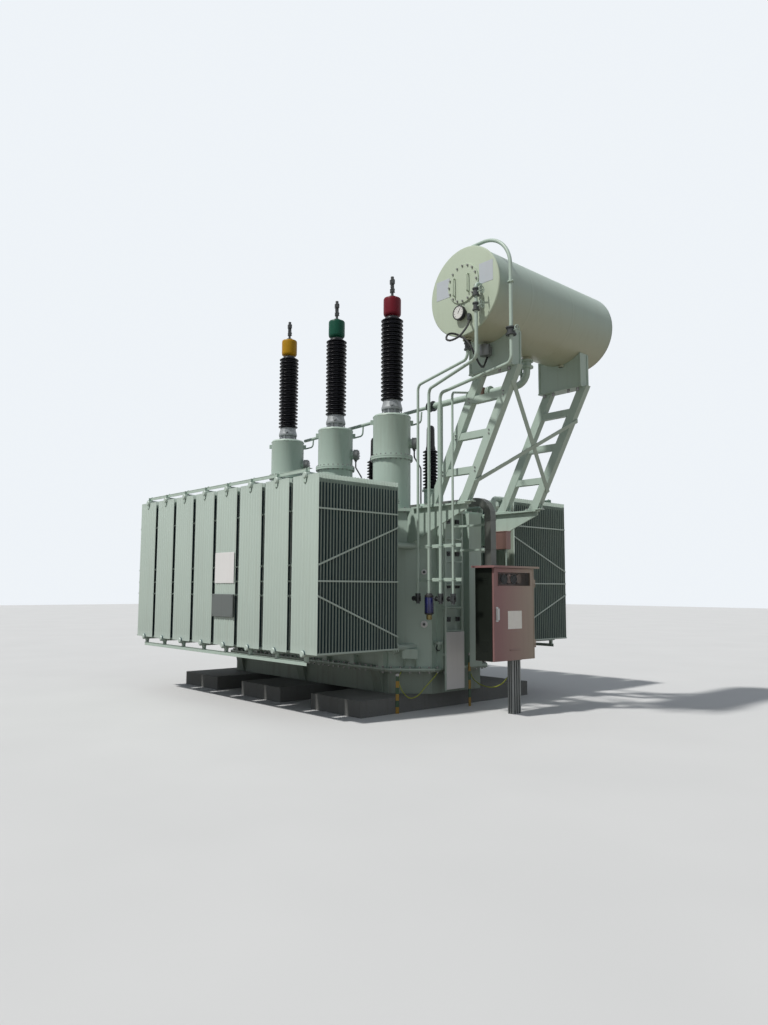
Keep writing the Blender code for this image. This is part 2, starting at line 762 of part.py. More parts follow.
def low_voltage():
    """A row of smaller shedded bushings on round stands, each under a black boot."""
    sheds_top = LOW_STAND_HEIGHT + LOW_LENGTH
    boot_top = sheds_top + LOW_BOOT_HEIGHT
    profile = [(0, boot_top), (LOW_BOOT_RADIUS, boot_top), (LOW_BOOT_RADIUS, sheds_top)]
    profile += shed_profile(LOW_CORE_RADIUS, LOW_RADIUS, LOW_LENGTH, LOW_SHEDS, sheds_top)
    profile += [(LOW_STAND_RADIUS, LOW_STAND_HEIGHT), (LOW_STAND_RADIUS, 0), (0, 0)]
    for letter, index in (("a", -1), ("b", 0), ("c", 1)):
        made = turned(f"lv_bushing_{letter}", profile, LOW_STEPS)
        made.location = (index * LOW_PITCH, LOW_Y, COVER_TOP + SEAT)
        keep(made, PORCELAIN)
        round_shading(made)


def nozzle_bottom():
    return DRUM_Z - DRUM_RADIUS - NOZZLE_DROP


def conservator():
    """The drum with a domed rear end, nozzles below and a flat bolted front end."""
    half = DRUM_LENGTH / 2
    dome = []
    for step in range(6):
        angle = step / 5 * math.pi / 2
        dome.append((DRUM_RADIUS * math.sin(angle), half - DOME_DEPTH + DOME_DEPTH * math.cos(angle)))
    made = turned("conservator_drum", dome + [(DRUM_RADIUS, -half), (0, -half)], DRUM_STEPS)
    made.rotation_euler.x = -math.pi / 2
    made.location = (DRUM_X, 0, DRUM_Z)
    keep(made, PAINT)
    end_y = NOZZLE_INSET - half
    fill_x = DRUM_X - FILL_NOZZLE_SHIFT
    low = DRUM_Z - DRUM_RADIUS + NOZZLE_ROOT
    high = DRUM_Z + DRUM_RADIUS
    nozzles = rods("drum_nozzles", [
        ((OIL_PIPE_FRONT_X, OIL_PIPE_Y, low), (OIL_PIPE_FRONT_X, OIL_PIPE_Y, nozzle_bottom()),
         OIL_NOZZLE_RADIUS),
        ((fill_x, end_y, low), (fill_x, end_y, nozzle_bottom()), NOZZLE_RADIUS),
        ((DRUM_X, end_y, high - NOZZLE_ROOT), (DRUM_X, end_y, high + NOZZLE_DROP), NOZZLE_RADIUS)], 12)
    combine(made, nozzles)
    round_shading(made)
    rim = DRUM_RADIUS + END_PLATE_REACH
    plate = turned("conservator_end", [
        (0, 0), (rim, 0), (rim, -END_PLATE_THICK), (0, -END_PLATE_THICK)], DRUM_STEPS)
    plate.rotation_euler.x = -math.pi / 2
    plate.location = (DRUM_X, -half - SEAT, DRUM_Z)
    keep(plate, PAINT)
    front = -half - SEAT - END_PLATE_THICK
    cover = rods("manhole_cover", [
        ((DRUM_X, front + SINK, DRUM_Z + MANHOLE_RISE),
         (DRUM_X, front - MANHOLE_THICK, DRUM_Z + MANHOLE_RISE), MANHOLE_RADIUS)], 20)
    combine(plate, cover)
    round_shading(plate)


def leg_x(z):
    """Middle of the inner leg at a height."""
    return LEG_FOOT_X + LEG_LEAN * (z - COVER_TOP)


def leaning_frame(name, y):
    """A ladder-like frame of two leaning legs and rungs with the drum's saddle on top."""
    bottom = COVER_TOP + SEAT
    half = LEG_WIDTH / 2 * math.sqrt(1 + LEG_LEAN ** 2)
    leg_top = SADDLE_BOTTOM + SINK
    shapes = []
    for offset in (0, LEG_SPACING):
        leg = outline(name + "_leg", [
            (leg_x(bottom) + offset - half, bottom), (leg_x(bottom) + offset + half, bottom),
            (leg_x(leg_top) + offset + half, leg_top), (leg_x(leg_top) + offset - half, leg_top)],
            FRAME_DEPTH, "Y")
        leg.location.y = y
        shapes.append(meshed(leg))
    rungs = []
    for index in range(FRAME_RUNGS):
        z = bottom + (index + 0.9) * (SADDLE_BOTTOM - bottom) / (FRAME_RUNGS + 0.6)
        rungs.append((
            (leg_x(z), y - FRAME_DEPTH / 2 + SINK, z - RUNG_HEIGHT / 2),
            (leg_x(z) + LEG_SPACING, y + FRAME_DEPTH / 2 - SINK, z + RUNG_HEIGHT / 2)))
    made = keep(shapes[0], PAINT)
    made.name = name
    combine(made, shapes[1])
    combine(made, boxes(name + "_rungs", rungs))
    saddle = boxes(name + "_saddle", [
        ((DRUM_X - SADDLE_LENGTH / 2, y - SADDLE_DEPTH / 2, SADDLE_BOTTOM),
         (DRUM_X + SADDLE_LENGTH / 2, y + SADDLE_DEPTH / 2, DRUM_Z - DRUM_RADIUS * 0.7))])
    combine(made, saddle)
    drum = rods(name + "_drum_space", [
        ((DRUM_X, y - SADDLE_DEPTH, DRUM_Z), (DRUM_X, y + SADDLE_DEPTH, DRUM_Z),
         DRUM_RADIUS + SEAT)], DRUM_STEPS)
    combine(made, drum, "DIFFERENCE")


def frames():
    leaning_frame("frame_near", -FRAME_Y)
    leaning_frame("frame_far", FRAME_Y)


def brace(name, start_z, end_z, offset):
    """A flat bar on the outer legs from one frame to the other."""
    reach = LEG_WIDTH / 2 * math.sqrt(1 + LEG_LEAN ** 2) + SEAT + offset
    half = FRAME_Y + FRAME_DEPTH / 2
    start = Vector((leg_x(start_z) + LEG_SPACING + reach, -half, start_z))
    end = Vector((leg_x(end_z) + LEG_SPACING + reach, half, end_z))
    lean = Vector((LEG_LEAN, 0, 1)).normalized()
    out = Vector((1, 0, -LEG_LEAN)).normalized()
    along = (end - start).normalized()
    across = out.cross(along).normalized()
    frame = Matrix((along, across, out)).transposed().to_4x4()
    frame.translation = (start + end) / 2 + out * BRACE_THICK / 2
    shape = bmesh.new()
    half_run = (end - start).length / 2
    verts = add_box(
        shape, (-half_run, -BRACE_WIDTH / 2, -BRACE_THICK / 2), (half_run, BRACE_WIDTH / 2, BRACE_THICK / 2))
    bmesh.ops.transform(shape, matrix=frame, verts=verts)
    keep(from_bmesh(name, shape), PAINT)


def braces():
    brace("brace_down", BRACE_TOP, BRACE_BOTTOM, 0)
    brace("brace_up", BRACE_BOTTOM, BRACE_CROSS_TOP, (BRACE_THICK + SEAT) * math.sqrt(1 + LEG_LEAN ** 2))


def bracket(name, side):
    """A tapered cantilever with a top plate, notched under the cover's rim."""
    y = side * FRAME_Y
    wall_x = corner_sum() - FRAME_Y + BRACKET_WEB / 2 + SEAT
    rim_x = wall_x + (COVER_REACH + SEAT) * math.sqrt(2)
    rim_z = BELL_TOP - RIM_THICK - SEAT
    top = COVER_TOP
    web = outline(name, [
        (wall_x, top - BRACKET_ROOT_DEPTH), (wall_x, rim_z), (rim_x, rim_z), (rim_x, top - BRACKET_PLATE / 2),
        (BRACKET_REACH, top - BRACKET_PLATE / 2), (BRACKET_REACH, top - BRACKET_TIP_DEPTH),
        (wall_x + BRACKET_HEEL, top - BRACKET_ROOT_DEPTH)][::-1], BRACKET_WEB, "Y")
    web.location.y = y
    made = keep(meshed(web), PAINT)
    made.name = name
    plate_x = corner_sum() - FRAME_Y + BRACKET_FLANGE / 2 + (COVER_REACH + SEAT) * math.sqrt(2)
    plate = boxes(name + "_plate", [
        ((plate_x, y - BRACKET_FLANGE / 2, top - BRACKET_PLATE),
         (BRACKET_REACH + SINK, y + BRACKET_FLANGE / 2, top))])
    combine(made, plate)
    if side > 0:
        box = boxes("junction_box", [
            ((JUNCTION_X - JUNCTION_SIZE / 2, y - JUNCTION_DEPTH, JUNCTION_TOP - JUNCTION_SIZE),
             (JUNCTION_X + JUNCTION_SIZE / 2, y - BRACKET_WEB / 2 + SINK, JUNCTION_TOP))])
        combine(made, box)


def brackets():
    bracket("bracket_near", -1)
    bracket("bracket_far", 1)


def main_oil_pipe():
    """The pipe that rises from the cover, carries the gas relay and turns up into the drum."""
    foot = COVER_TOP + SEAT
    route = rounded([
        (OIL_PIPE_BACK_X - OIL_PIPE_STUB, OIL_PIPE_Y, OIL_PIPE_Z),
        (OIL_PIPE_FRONT_X, OIL_PIPE_Y, OIL_PIPE_Z),
        (OIL_PIPE_FRONT_X, OIL_PIPE_Y, nozzle_bottom() - SEAT)], (OIL_PIPE_BEND,))
    made = meshed(tube("main_oil_pipe", route, OIL_PIPE_RADIUS))
    keep(made, PAINT)
    half = PIPE_FLANGE_THICK / 2
    flange_out = RELAY_LENGTH / 2 + PIPE_FLANGE_GAP
    runs = []
    for x in (RELAY_X - flange_out, RELAY_X + flange_out):
        runs.append((
            (x - half, OIL_PIPE_Y, OIL_PIPE_Z), (x + half, OIL_PIPE_Y, OIL_PIPE_Z), PIPE_FLANGE_RADIUS))
    runs.append((
        (OIL_PIPE_BACK_X, OIL_PIPE_Y, foot), (OIL_PIPE_BACK_X, OIL_PIPE_Y, foot + PIPE_FLANGE_THICK),
        PIPE_FLANGE_RADIUS))
    combine(made, rods("oil_pipe_flanges", runs, 12))
    riser_foot = (OIL_PIPE_BACK_X, OIL_PIPE_Y, foot + SINK)
    riser_top = (OIL_PIPE_BACK_X, OIL_PIPE_Y, OIL_PIPE_Z)
    combine(made, rods("oil_pipe_riser", [(riser_foot, riser_top, RISER_RADIUS)], 12))
    half_length = RELAY_LENGTH / 2
    half_size = RELAY_SIZE / 2
    relay = boxes("gas_relay", [
        ((RELAY_X - half_length, OIL_PIPE_Y - half_size, OIL_PIPE_Z - half_size),
         (RELAY_X + half_length, OIL_PIPE_Y + half_size, OIL_PIPE_Z + half_size))])
    combine(made, relay)


def gas_pipe():
    """The thin pipe past the turrets' tops, with a branch to each of them."""
    end_x = OIL_PIPE_BACK_X - OIL_PIPE_STUB - GAS_PIPE_GAP
    end_z = OIL_PIPE_Z
    route = [Vector((GAS_PIPE_BACK_X, OIL_PIPE_Y, GAS_PIPE_BACK_Z)), Vector((end_x, OIL_PIPE_Y, end_z))]
    made = keep(meshed(tube("gas_pipe", route, GAS_PIPE_RADIUS)), PAINT)
    for index in (-1, 0, 1):
        x = index * PHASE_PITCH + GAS_BRANCH_SHIFT
        share = (x - GAS_PIPE_BACK_X) / (end_x - GAS_PIPE_BACK_X)
        z = GAS_PIPE_BACK_Z + share * (end_z - GAS_PIPE_BACK_Z)
        y = PHASE_Y + TURRET_RADIUS - GAS_BRANCH_INSET
        branch = rounded([
            (x, OIL_PIPE_Y, z), (x, y, z), (x, y, TURRET_TOP + SEAT)], (GAS_BRANCH_BEND,), 2)
        combine(made, meshed(tube("gas_branch", branch, GAS_BRANCH_RADIUS)))


def rise_and_lean(x, top, end_x, end_y, end_z):
    """The first points of a pipe of the row, up beside the frame and over towards the drum."""
    return [(x, PIPE_ROW_Y, PIPE_FOOT_Z), (x, PIPE_ROW_Y, top), (end_x, end_y, end_z)]


def fill_pipe():
    """The filling pipe, which carries the two flat bars that the whole row is clamped to."""
    y = PIPE_ROW_Y
    end_y = NOZZLE_INSET - DRUM_LENGTH / 2
    end_x = DRUM_X - FILL_NOZZLE_SHIFT
    route = rise_and_lean(FILL_PIPE_X, FILL_PIPE_TOP, end_x, end_y, FILL_PIPE_TOP + PIPE_FALL)
    route.append((end_x, end_y, nozzle_bottom() - SEAT))
    made = keep(meshed(tube("fill_pipe", rounded(route, (SMALL_BEND, SMALL_BEND)), FILL_PIPE_RADIUS)), PAINT)
    back = y + VENT_PIPE_RADIUS + SEAT
    half = PIPE_BAR_HEIGHT / 2
    left = FILL_PIPE_X - FILL_PIPE_RADIUS
    right = FILL_PIPE_X + FILL_PIPE_RADIUS
    bars = []
    clamps = []
    for z in PIPE_BAR_LEVELS:
        bars.append(((left, back, z - half), (PIPE_BAR_END, back + PIPE_BAR_THICK, z + half)))
        clamps.append(((left + SINK, y, z - half + SINK), (right - SINK, back + SINK, z + half - SINK)))
    combine(made, boxes("pipe_bars", bars))
    combine(made, boxes("pipe_bar_clamps", clamps))


def breather_pipe():
    """The pipe from the drying breather to the upper part of the drum's front end."""
    front = -DRUM_LENGTH / 2 - 2 * SEAT - END_PLATE_THICK
    x = DRUM_X + UPRIGHT_SHIFT
    y = front - UPRIGHT_OUT
    top = DRUM_Z - UPRIGHT_DROP
    route = rise_and_lean(BREATHER_PIPE_X, BREATHER_PIPE_TOP, x, y, BREATHER_PIPE_TOP + PIPE_FALL / 2)
    route += [(x, y, top), (x, front, top)]
    bends = (SMALL_BEND, SMALL_BEND, BREATHER_TOP_BEND)
    keep(tube("breather_pipe", rounded(route, bends), BREATHER_PIPE_RADIUS), PAINT)


def breather():
    """The glass of drying agent that hangs under the breather pipe."""
    top = BREATHER_HEIGHT
    made = turned("breather", [
        (0, top), (BREATHER_END_RADIUS, top), (BREATHER_RADIUS, top - BREATHER_SHOULDER),
        (BREATHER_RADIUS, BREATHER_CUP), (BREATHER_END_RADIUS, BREATHER_CUP_TOP),
        (BREATHER_END_RADIUS, 0), (0, 0)], BREATHER_STEPS)
    made.location = (BREATHER_PIPE_X, PIPE_ROW_Y, PIPE_FOOT_Z - SEAT - top)
    keep(made, BREATHER_BLUE)
    round_shading(made)


def vent_pipe():
    """The pipe that stands beside the drum's front end and arches over onto its top."""
    end_y = NOZZLE_INSET - DRUM_LENGTH / 2
    side = DRUM_X + DRUM_RADIUS + VENT_SIDE_GAP
    foot = DRUM_Z + DRUM_RADIUS + NOZZLE_DROP + SEAT
    top = DRUM_Z + DRUM_RADIUS + VENT_RISE
    route = rise_and_lean(VENT_PIPE_X, VENT_PIPE_TOP, side, end_y, VENT_PIPE_TOP + PIPE_FALL)
    route += [(side, end_y, top), (DRUM_X, end_y, top), (DRUM_X, end_y, foot)]
    bends = (SMALL_BEND, SMALL_BEND, VENT_BEND, VENT_END_BEND)
    keep(tube("vent_pipe", rounded(route, bends), VENT_PIPE_RADIUS), PAINT)


def sampling_pipe():
    """The thin pipe from the gas relay down to the row."""
    relay_side = OIL_PIPE_Y - RELAY_SIZE / 2 - SEAT
    x = RELAY_X + SAMPLE_SHIFT
    z = OIL_PIPE_Z - SAMPLE_DROP
    route = rise_and_lean(SAMPLE_PIPE_X, SAMPLE_PIPE_TOP, x, relay_side - SAMPLE_RUN, z)
    route.append((x, relay_side, z))
    keep(tube("sampling_pipe", rounded(route, (SMALL_BEND, SMALL_BEND)), SAMPLE_PIPE_RADIUS), PAINT)


def ladder():
    """Two rails with rungs, stood off the end rib."""
    y_left = -END_RIB_Y - LADDER_WIDTH / 2
    y_right = -END_RIB_Y + LADDER_WIDTH / 2
    made = rods("ladder", [
        ((LADDER_X, y_left, LADDER_BOTTOM), (LADDER_X, y_left, LADDER_TOP), LADDER_RAIL)], 8)
    keep(made, PAINT)
    right = rods("ladder_right_rail", [
        ((LADDER_X, y_right, LADDER_BOTTOM), (LADDER_X, y_right, LADDER_TOP), LADDER_RAIL)], 8)
    runs = []
    count = int((LADDER_TOP - LADDER_BOTTOM) / RUNG_PITCH)
    for index in range(count):
        z = LADDER_BOTTOM + FIRST_RUNG + index * RUNG_PITCH
        runs.append(((LADDER_X, y_left, z), (LADDER_X, y_right, z), RUNG_RADIUS))
    combine(made, rods("ladder_rungs", runs, 6))
    combine(made, right)
    rib_face = TANK_LENGTH / 2 + END_RIB_DEPTH + SEAT
    stubs = []
    for index in STAY_RUNGS:
        z = LADDER_BOTTOM + FIRST_RUNG + index * RUNG_PITCH
        stubs.append((
            (rib_face, -END_RIB_Y - STAY_WIDTH / 2, z - STAY_THICK / 2),
            (LADDER_X + RUNG_RADIUS / 2, -END_RIB_Y + STAY_WIDTH / 2, z + STAY_THICK / 2)))
    combine(made, boxes("ladder_stubs", stubs))


def hinge_heights():
    bottom = CABINET_BOTTOM + HINGE_INSET
    top = CABINET_BOTTOM + CABINET_HEIGHT - HINGE_INSET - 2 * KNUCKLE_HEIGHT
    return (bottom, top)


def cabinet():
    """A sheet metal cabinet open to the front, with its roof, gauge shelf and hinge pins."""
    back = CABINET_FRONT_X - CABINET_DEPTH
    left = CABINET_Y - CABINET_WIDTH / 2
    right = CABINET_Y + CABINET_WIDTH / 2
    top = CABINET_BOTTOM + CABINET_HEIGHT
    made = boxes("cabinet_body", [((back, left, CABINET_BOTTOM), (CABINET_FRONT_X, right, top))])
    keep(made, STAINLESS)
    inside = boxes("cabinet_inside", [
        ((back + CABINET_WALL, left + CABINET_WALL, CABINET_BOTTOM + CABINET_WALL),
         (CABINET_FRONT_X + 0.01, right - CABINET_WALL, top - CABINET_WALL))])
    combine(made, inside, "DIFFERENCE")
    roof = boxes("cabinet_roof", [
        ((back - 0.02, left - ROOF_REACH, top - 0.001),
         (DOOR_FRONT_X + ROOF_REACH, right + ROOF_REACH, top + ROOF_THICK))])
    combine(made, roof)
    shelf_top = top - DOOR_WINDOW_DROP + GAUGE_SHELF_MARGIN
    shelf_bottom = shelf_top - DOOR_WINDOW_HEIGHT - 2 * GAUGE_SHELF_MARGIN
    face = CABINET_FRONT_X - GAUGE_SHELF_INSET
    shelf = boxes("gauge_plate", [
        ((face, left + CABINET_WALL / 2, shelf_bottom),
         (face + GAUGE_SHELF_THICK, right - CABINET_WALL / 2, shelf_top))])
    combine(made, shelf)
    middle = (shelf_top + shelf_bottom) / 2
    runs = []
    for offset in GAUGE_OFFSETS:
        y = CABINET_Y + offset
        runs.append(((face - 0.002, y, middle), (face + GAUGE_DEPTH, y, middle), GAUGE_RADIUS))
    combine(made, rods("gauges", runs, 16))
    leaves = []
    knuckles = []
    for z in hinge_heights():
        leaves.append((
            (CABINET_FRONT_X - 0.03, right - 0.001, z),
            (HINGE_X, HINGE_Y - KNUCKLE_RADIUS * 0.6, z + KNUCKLE_HEIGHT)))
        knuckles.append(((HINGE_X, HINGE_Y, z), (HINGE_X, HINGE_Y, z + KNUCKLE_HEIGHT), KNUCKLE_RADIUS))
    combine(made, boxes("body_hinge_leaves", leaves))
    combine(made, rods("body_knuckles", knuckles, 12))
    pins = []
    for z in hinge_heights():
        pins.append(((HINGE_X, HINGE_Y, z + 0.01), (HINGE_X, HINGE_Y, z + 2 * KNUCKLE_HEIGHT), PIN_RADIUS))
    combine(made, rods("hinge_pins", pins, 8))


def cabinet_door():
    """The hinged door with its window and handle, placed about its hinge line."""
    left = CABINET_Y - CABINET_WIDTH / 2 - HINGE_Y
    right = CABINET_Y + CABINET_WIDTH / 2 - SWING_GAP - HINGE_Y
    bottom = CABINET_BOTTOM + 0.002
    top = CABINET_BOTTOM + CABINET_HEIGHT - SWING_GAP - 0.001
    half = DOOR_THICK / 2
    made = boxes("cabinet_door", [((-half, left, bottom), (half, right, top))])
    made.location = (HINGE_X, HINGE_Y, 0)
    keep(made, STAINLESS)
    window_top = top - DOOR_WINDOW_DROP
    window_bottom = window_top - DOOR_WINDOW_HEIGHT
    centre = (left + right) / 2
    window_left = centre - DOOR_WINDOW_WIDTH / 2
    window_right = centre + DOOR_WINDOW_WIDTH / 2
    place = Vector((HINGE_X, HINGE_Y, 0))
    hole = boxes("window_hole", [
        (place + Vector((-half - 0.01, window_left, window_bottom)),
         place + Vector((half + 0.01, window_right, window_top)))])
    combine(made, hole, "DIFFERENCE")
    handle_y = left + HANDLE_INSET
    handle_z = CABINET_BOTTOM + CABINET_HEIGHT / 2
    handle = boxes("door_handle", [
        (place + Vector((half - 0.002, handle_y - HANDLE_WIDTH / 2, handle_z - HANDLE_HEIGHT / 2)),
         place + Vector((half + HANDLE_REACH, handle_y + HANDLE_WIDTH / 2, handle_z + HANDLE_HEIGHT / 2)))])
    combine(made, handle)
    leaves = []
    knuckles = []
    bores = []
    for z in hinge_heights():
        low = z + KNUCKLE_HEIGHT + SEAT
        high = z + 2 * KNUCKLE_HEIGHT
        leaves.append((
            place + Vector((-0.002, right - 0.01, low)), place + Vector((half, -KNUCKLE_RADIUS * 0.6, high))))
        knuckles.append((place + Vector((0, 0, low)), place + Vector((0, 0, high)), KNUCKLE_RADIUS))
        bores.append((
            place + Vector((0, 0, low - 0.01)), place + Vector((0, 0, high + 0.01)), PIN_RADIUS + PIN_GAP))
    combine(made, boxes("door_hinge_leaves", leaves))
    combine(made, rods("door_knuckles", knuckles, 12))
    combine(made, rods("door_bores", bores, 8), "DIFFERENCE")
    pane = boxes("door_window", [
        ((-WINDOW_THICK / 2, window_left + SEAT, window_bottom + SEAT),
         (WINDOW_THICK / 2, window_right - SEAT, window_top - SEAT))])
    pane.location = (HINGE_X, HINGE_Y, 0)
    keep(pane, GLASS)


def cabinet_post():
    """Two channels back to back under the cabinet."""
    half_width = POST_WIDTH / 2
    half_depth = POST_DEPTH / 2
    groove = POST_GROOVE
    lip = POST_LIP
    top = CABINET_BOTTOM - SEAT
    made = outline("cabinet_post", [
        (-half_depth, -half_width), (half_depth, -half_width), (half_depth, -lip),
        (half_depth - groove, -lip), (half_depth - groove, lip), (half_depth, lip),
        (half_depth, half_width), (-half_depth, half_width), (-half_depth, lip),
        (groove - half_depth, lip), (groove - half_depth, -lip), (-half_depth, -lip)], top, "Z")
    made.location = (CABINET_FRONT_X - CABINET_DEPTH / 2, POST_Y, top / 2)
    keep(made, GALVANISED)


def cable_duct():
    """A flat duct along the cover that turns down onto the cabinet's roof."""
    roof = CABINET_BOTTOM + CABINET_HEIGHT + ROOF_THICK + SEAT
    low = COVER_TOP + SEAT
    high = low + DUCT_HEIGHT
    right = DUCT_DROP_X + DUCT_HEIGHT / 2
    left = DUCT_DROP_X - DUCT_HEIGHT / 2
    outer = DUCT_BEND + DUCT_HEIGHT / 2
    inner = DUCT_BEND - DUCT_HEIGHT / 2
    steps = 6
    points = [(DUCT_BACK_X, low), (DUCT_BACK_X, high)][::-1]
    points += [(left - inner + inner * math.sin(step / steps * math.pi / 2),
                low - inner + inner * math.cos(step / steps * math.pi / 2)) for step in range(steps + 1)]
    points += [(left, roof), (right, roof)]
    points += [(right - outer + outer * math.cos(step / steps * math.pi / 2),
                high - outer + outer * math.sin(step / steps * math.pi / 2)) for step in range(steps + 1)]
    made = outline("cable_duct", points, DUCT_WIDTH, "Y")
    made.location.y = DUCT_Y
    keep(made, GALVANISED)


concrete_strips()
tank_trough()
tank_bell()
tank_cover()
radiators()
tie_bars()
high_voltage()
low_voltage()
conservator()
frames()
braces()
brackets()
main_oil_pipe()
gas_pipe()
fill_pipe()
breather_pipe()
breather()
vent_pipe()
sampling_pipe()
ladder()
cabinet()
cabinet_door()
cabinet_post()
cable_duct()
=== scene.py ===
"""Looks for the outdoor power transformer: painted steel, porcelain, glass, concrete."""

import math

import bmesh
import bpy
from mathutils import Matrix, Vector


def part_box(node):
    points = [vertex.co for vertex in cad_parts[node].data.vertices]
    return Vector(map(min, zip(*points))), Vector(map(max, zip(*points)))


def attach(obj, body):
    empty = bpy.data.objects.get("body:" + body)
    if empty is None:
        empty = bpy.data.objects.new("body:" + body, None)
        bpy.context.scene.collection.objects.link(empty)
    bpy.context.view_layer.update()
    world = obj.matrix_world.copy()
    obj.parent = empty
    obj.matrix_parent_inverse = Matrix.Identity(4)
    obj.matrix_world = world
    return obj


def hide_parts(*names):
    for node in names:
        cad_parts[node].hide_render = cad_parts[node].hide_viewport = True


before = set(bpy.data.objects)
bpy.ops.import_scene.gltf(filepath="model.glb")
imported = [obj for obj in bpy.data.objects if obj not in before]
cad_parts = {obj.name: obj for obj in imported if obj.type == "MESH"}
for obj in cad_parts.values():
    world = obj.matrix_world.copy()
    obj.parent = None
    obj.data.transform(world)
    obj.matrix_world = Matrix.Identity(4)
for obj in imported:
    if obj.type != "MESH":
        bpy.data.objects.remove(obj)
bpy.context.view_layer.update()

BODY = "transformer"
DOOR = "door"

# Camera, solved from the photograph
CAMERA_PLACE = (9.358, -7.68, 1.561)
CAMERA_AZIMUTH = 48.09
CAMERA_PITCH = 5.67
CAMERA_ROLL = 0.25
LENS = 26.81
SENSOR_WIDTH = 36

# Sizes shared with the solids, in metres
COVER_TOP = 2.6202
PHASE_PITCH = 1.315
PHASE_Y = -0.315
TURRET_HEIGHT = 1.43
TURRET_RADIUS = 0.272
RADIATOR_PITCH = 0.6
RADIATOR_WIDTH = 0.52
RADIATOR_BOTTOM = 0.8
RADIATOR_TOP = 2.89
RADIATOR_REACH = 2.415
BANK_DEPTH = 1.26
CT_ANGLE = math.radians(40)
DRUM = Vector((3.567, 0, 5.013))
DRUM_RADIUS = 0.515
DRUM_HALF = 1.23
PIPE_Y = 0.035
PIPE_Z = 4.17
OIL_X = 3.48
VENT_X = 4.147
FILL_X = 3.497
BLEED_X = 3.392
END_Y = -1.11
NOZZLE_Z = 4.4677
ROW_Y = -0.81
FRAME_Y = 0.7
LEG_SPREAD = 0.54
SADDLE_Z = 4.165
PIPE_ROW = ((2.36, 0.018), (2.56, 0.02), (2.76, 0.026), (2.97, 0.015))
FIRST_RUNG = 0.41
RUNG_PITCH = 0.3
DRAIN = (2.345, -0.4)
TAP_Y = -0.545
TAPS = ((1.776, 0.036), (1.097, 0.046))
DIAL_SHELF_X = 3.225
POST = (3.15, 0.12)
FLOOR_HALF = 60
UP = (0, 0, 1)
DOWN = (0, 0, -1)
BACK = (0, 1, 0)
FORWARD = (0, -1, 0)


# Materials

def node(tree, kind, inputs=None, **settings):
    """A new shader node, whose inputs take plain values or the outputs of other nodes."""
    made = tree.nodes.new(kind)
    for key, value in settings.items():
        setattr(made, key, value)
    for key, value in (inputs or {}).items():
        if isinstance(value, bpy.types.NodeSocket):
            tree.links.new(value, made.inputs[key])
        else:
            made.inputs[key].default_value = value
    return made


def blend(tree, amount, first, second):
    """A mix of two colours, each a plain colour or a node's output."""
    first, second = ((*each, 1) if isinstance(each, tuple) else each for each in (first, second))
    mix = node(tree, "ShaderNodeMix", {"Factor": amount, "A": first, "B": second}, data_type="RGBA")
    return mix.outputs["Result"]


def spread(tree, value, start, end, low=0.0, high=1.0):
    """A value's range between start and end, laid out between low and high."""
    return node(tree, "ShaderNodeMapRange", {
        "Value": value, "From Min": start, "From Max": end, "To Min": low, "To Max": high}).outputs["Result"]


def noise(tree, place, scale, detail, stretch=None):
    """Noise over a place, which can be stretched first."""
    if stretch:
        place = node(tree, "ShaderNodeMapping", {"Scale": stretch, "Vector": place}).outputs["Vector"]
    return node(tree, "ShaderNodeTexNoise", {"Scale": scale, "Detail": detail, "Vector": place}).outputs["Fac"]


def look(name, colour, rough, metal=0.0, vary=0.3, streaks=0.2, grain=60, bump=0.05, dark=None, spots=0.0,
         clear=0.0, stretch=(1, 1, 1), patch=8, shine=0.5, alpha=1.0, fade=None):
    """A material whose colour, gloss and relief change over it, laid out in metres."""
    made = bpy.data.materials.new(name)
    made.use_nodes = True
    tree = made.node_tree
    shader = tree.nodes["Principled BSDF"]
    place = node(tree, "ShaderNodeTexCoord").outputs["Object"]
    large = noise(tree, place, patch, 6)
    runs = noise(tree, place, 1.0, 4, (14, 14, 0.9))
    fine = noise(tree, place, grain, 5, stretch)
    grime = dark or tuple(c * 0.35 for c in colour)
    shade = blend(tree, large, tuple(max(c * (1 - vary), 0) for c in colour),
                  tuple(min(c * (1 + vary), 1) for c in colour))
    if fade:
        other, start, end, axis = fade
        split = node(tree, "ShaderNodeSeparateXYZ", {"Vector": place})
        shade = blend(tree, spread(tree, split.outputs[axis], start, end), shade, other)
    shade = blend(tree, spread(tree, runs, 0.52, 0.78, 0.0, streaks), shade, grime)
    shade = blend(tree, spread(tree, fine, 0.58, 0.72, 0.0, spots), shade, grime)
    gloss = spread(tree, large, 0.0, 1.0, max(rough - 0.1, 0.03), min(rough + 0.14, 1.0))
    relief = node(tree, "ShaderNodeBump", {"Strength": bump, "Distance": 0.003, "Height": fine})
    tree.links.new(shade, shader.inputs["Base Color"])
    tree.links.new(gloss, shader.inputs["Roughness"])
    tree.links.new(relief.outputs["Normal"], shader.inputs["Normal"])
    for key, value in (("Metallic", metal), ("Coat Weight", clear), ("Coat Roughness", 0.15),
                       ("Specular IOR Level", shine), ("Alpha", alpha)):
        shader.inputs[key].default_value = value
    return made


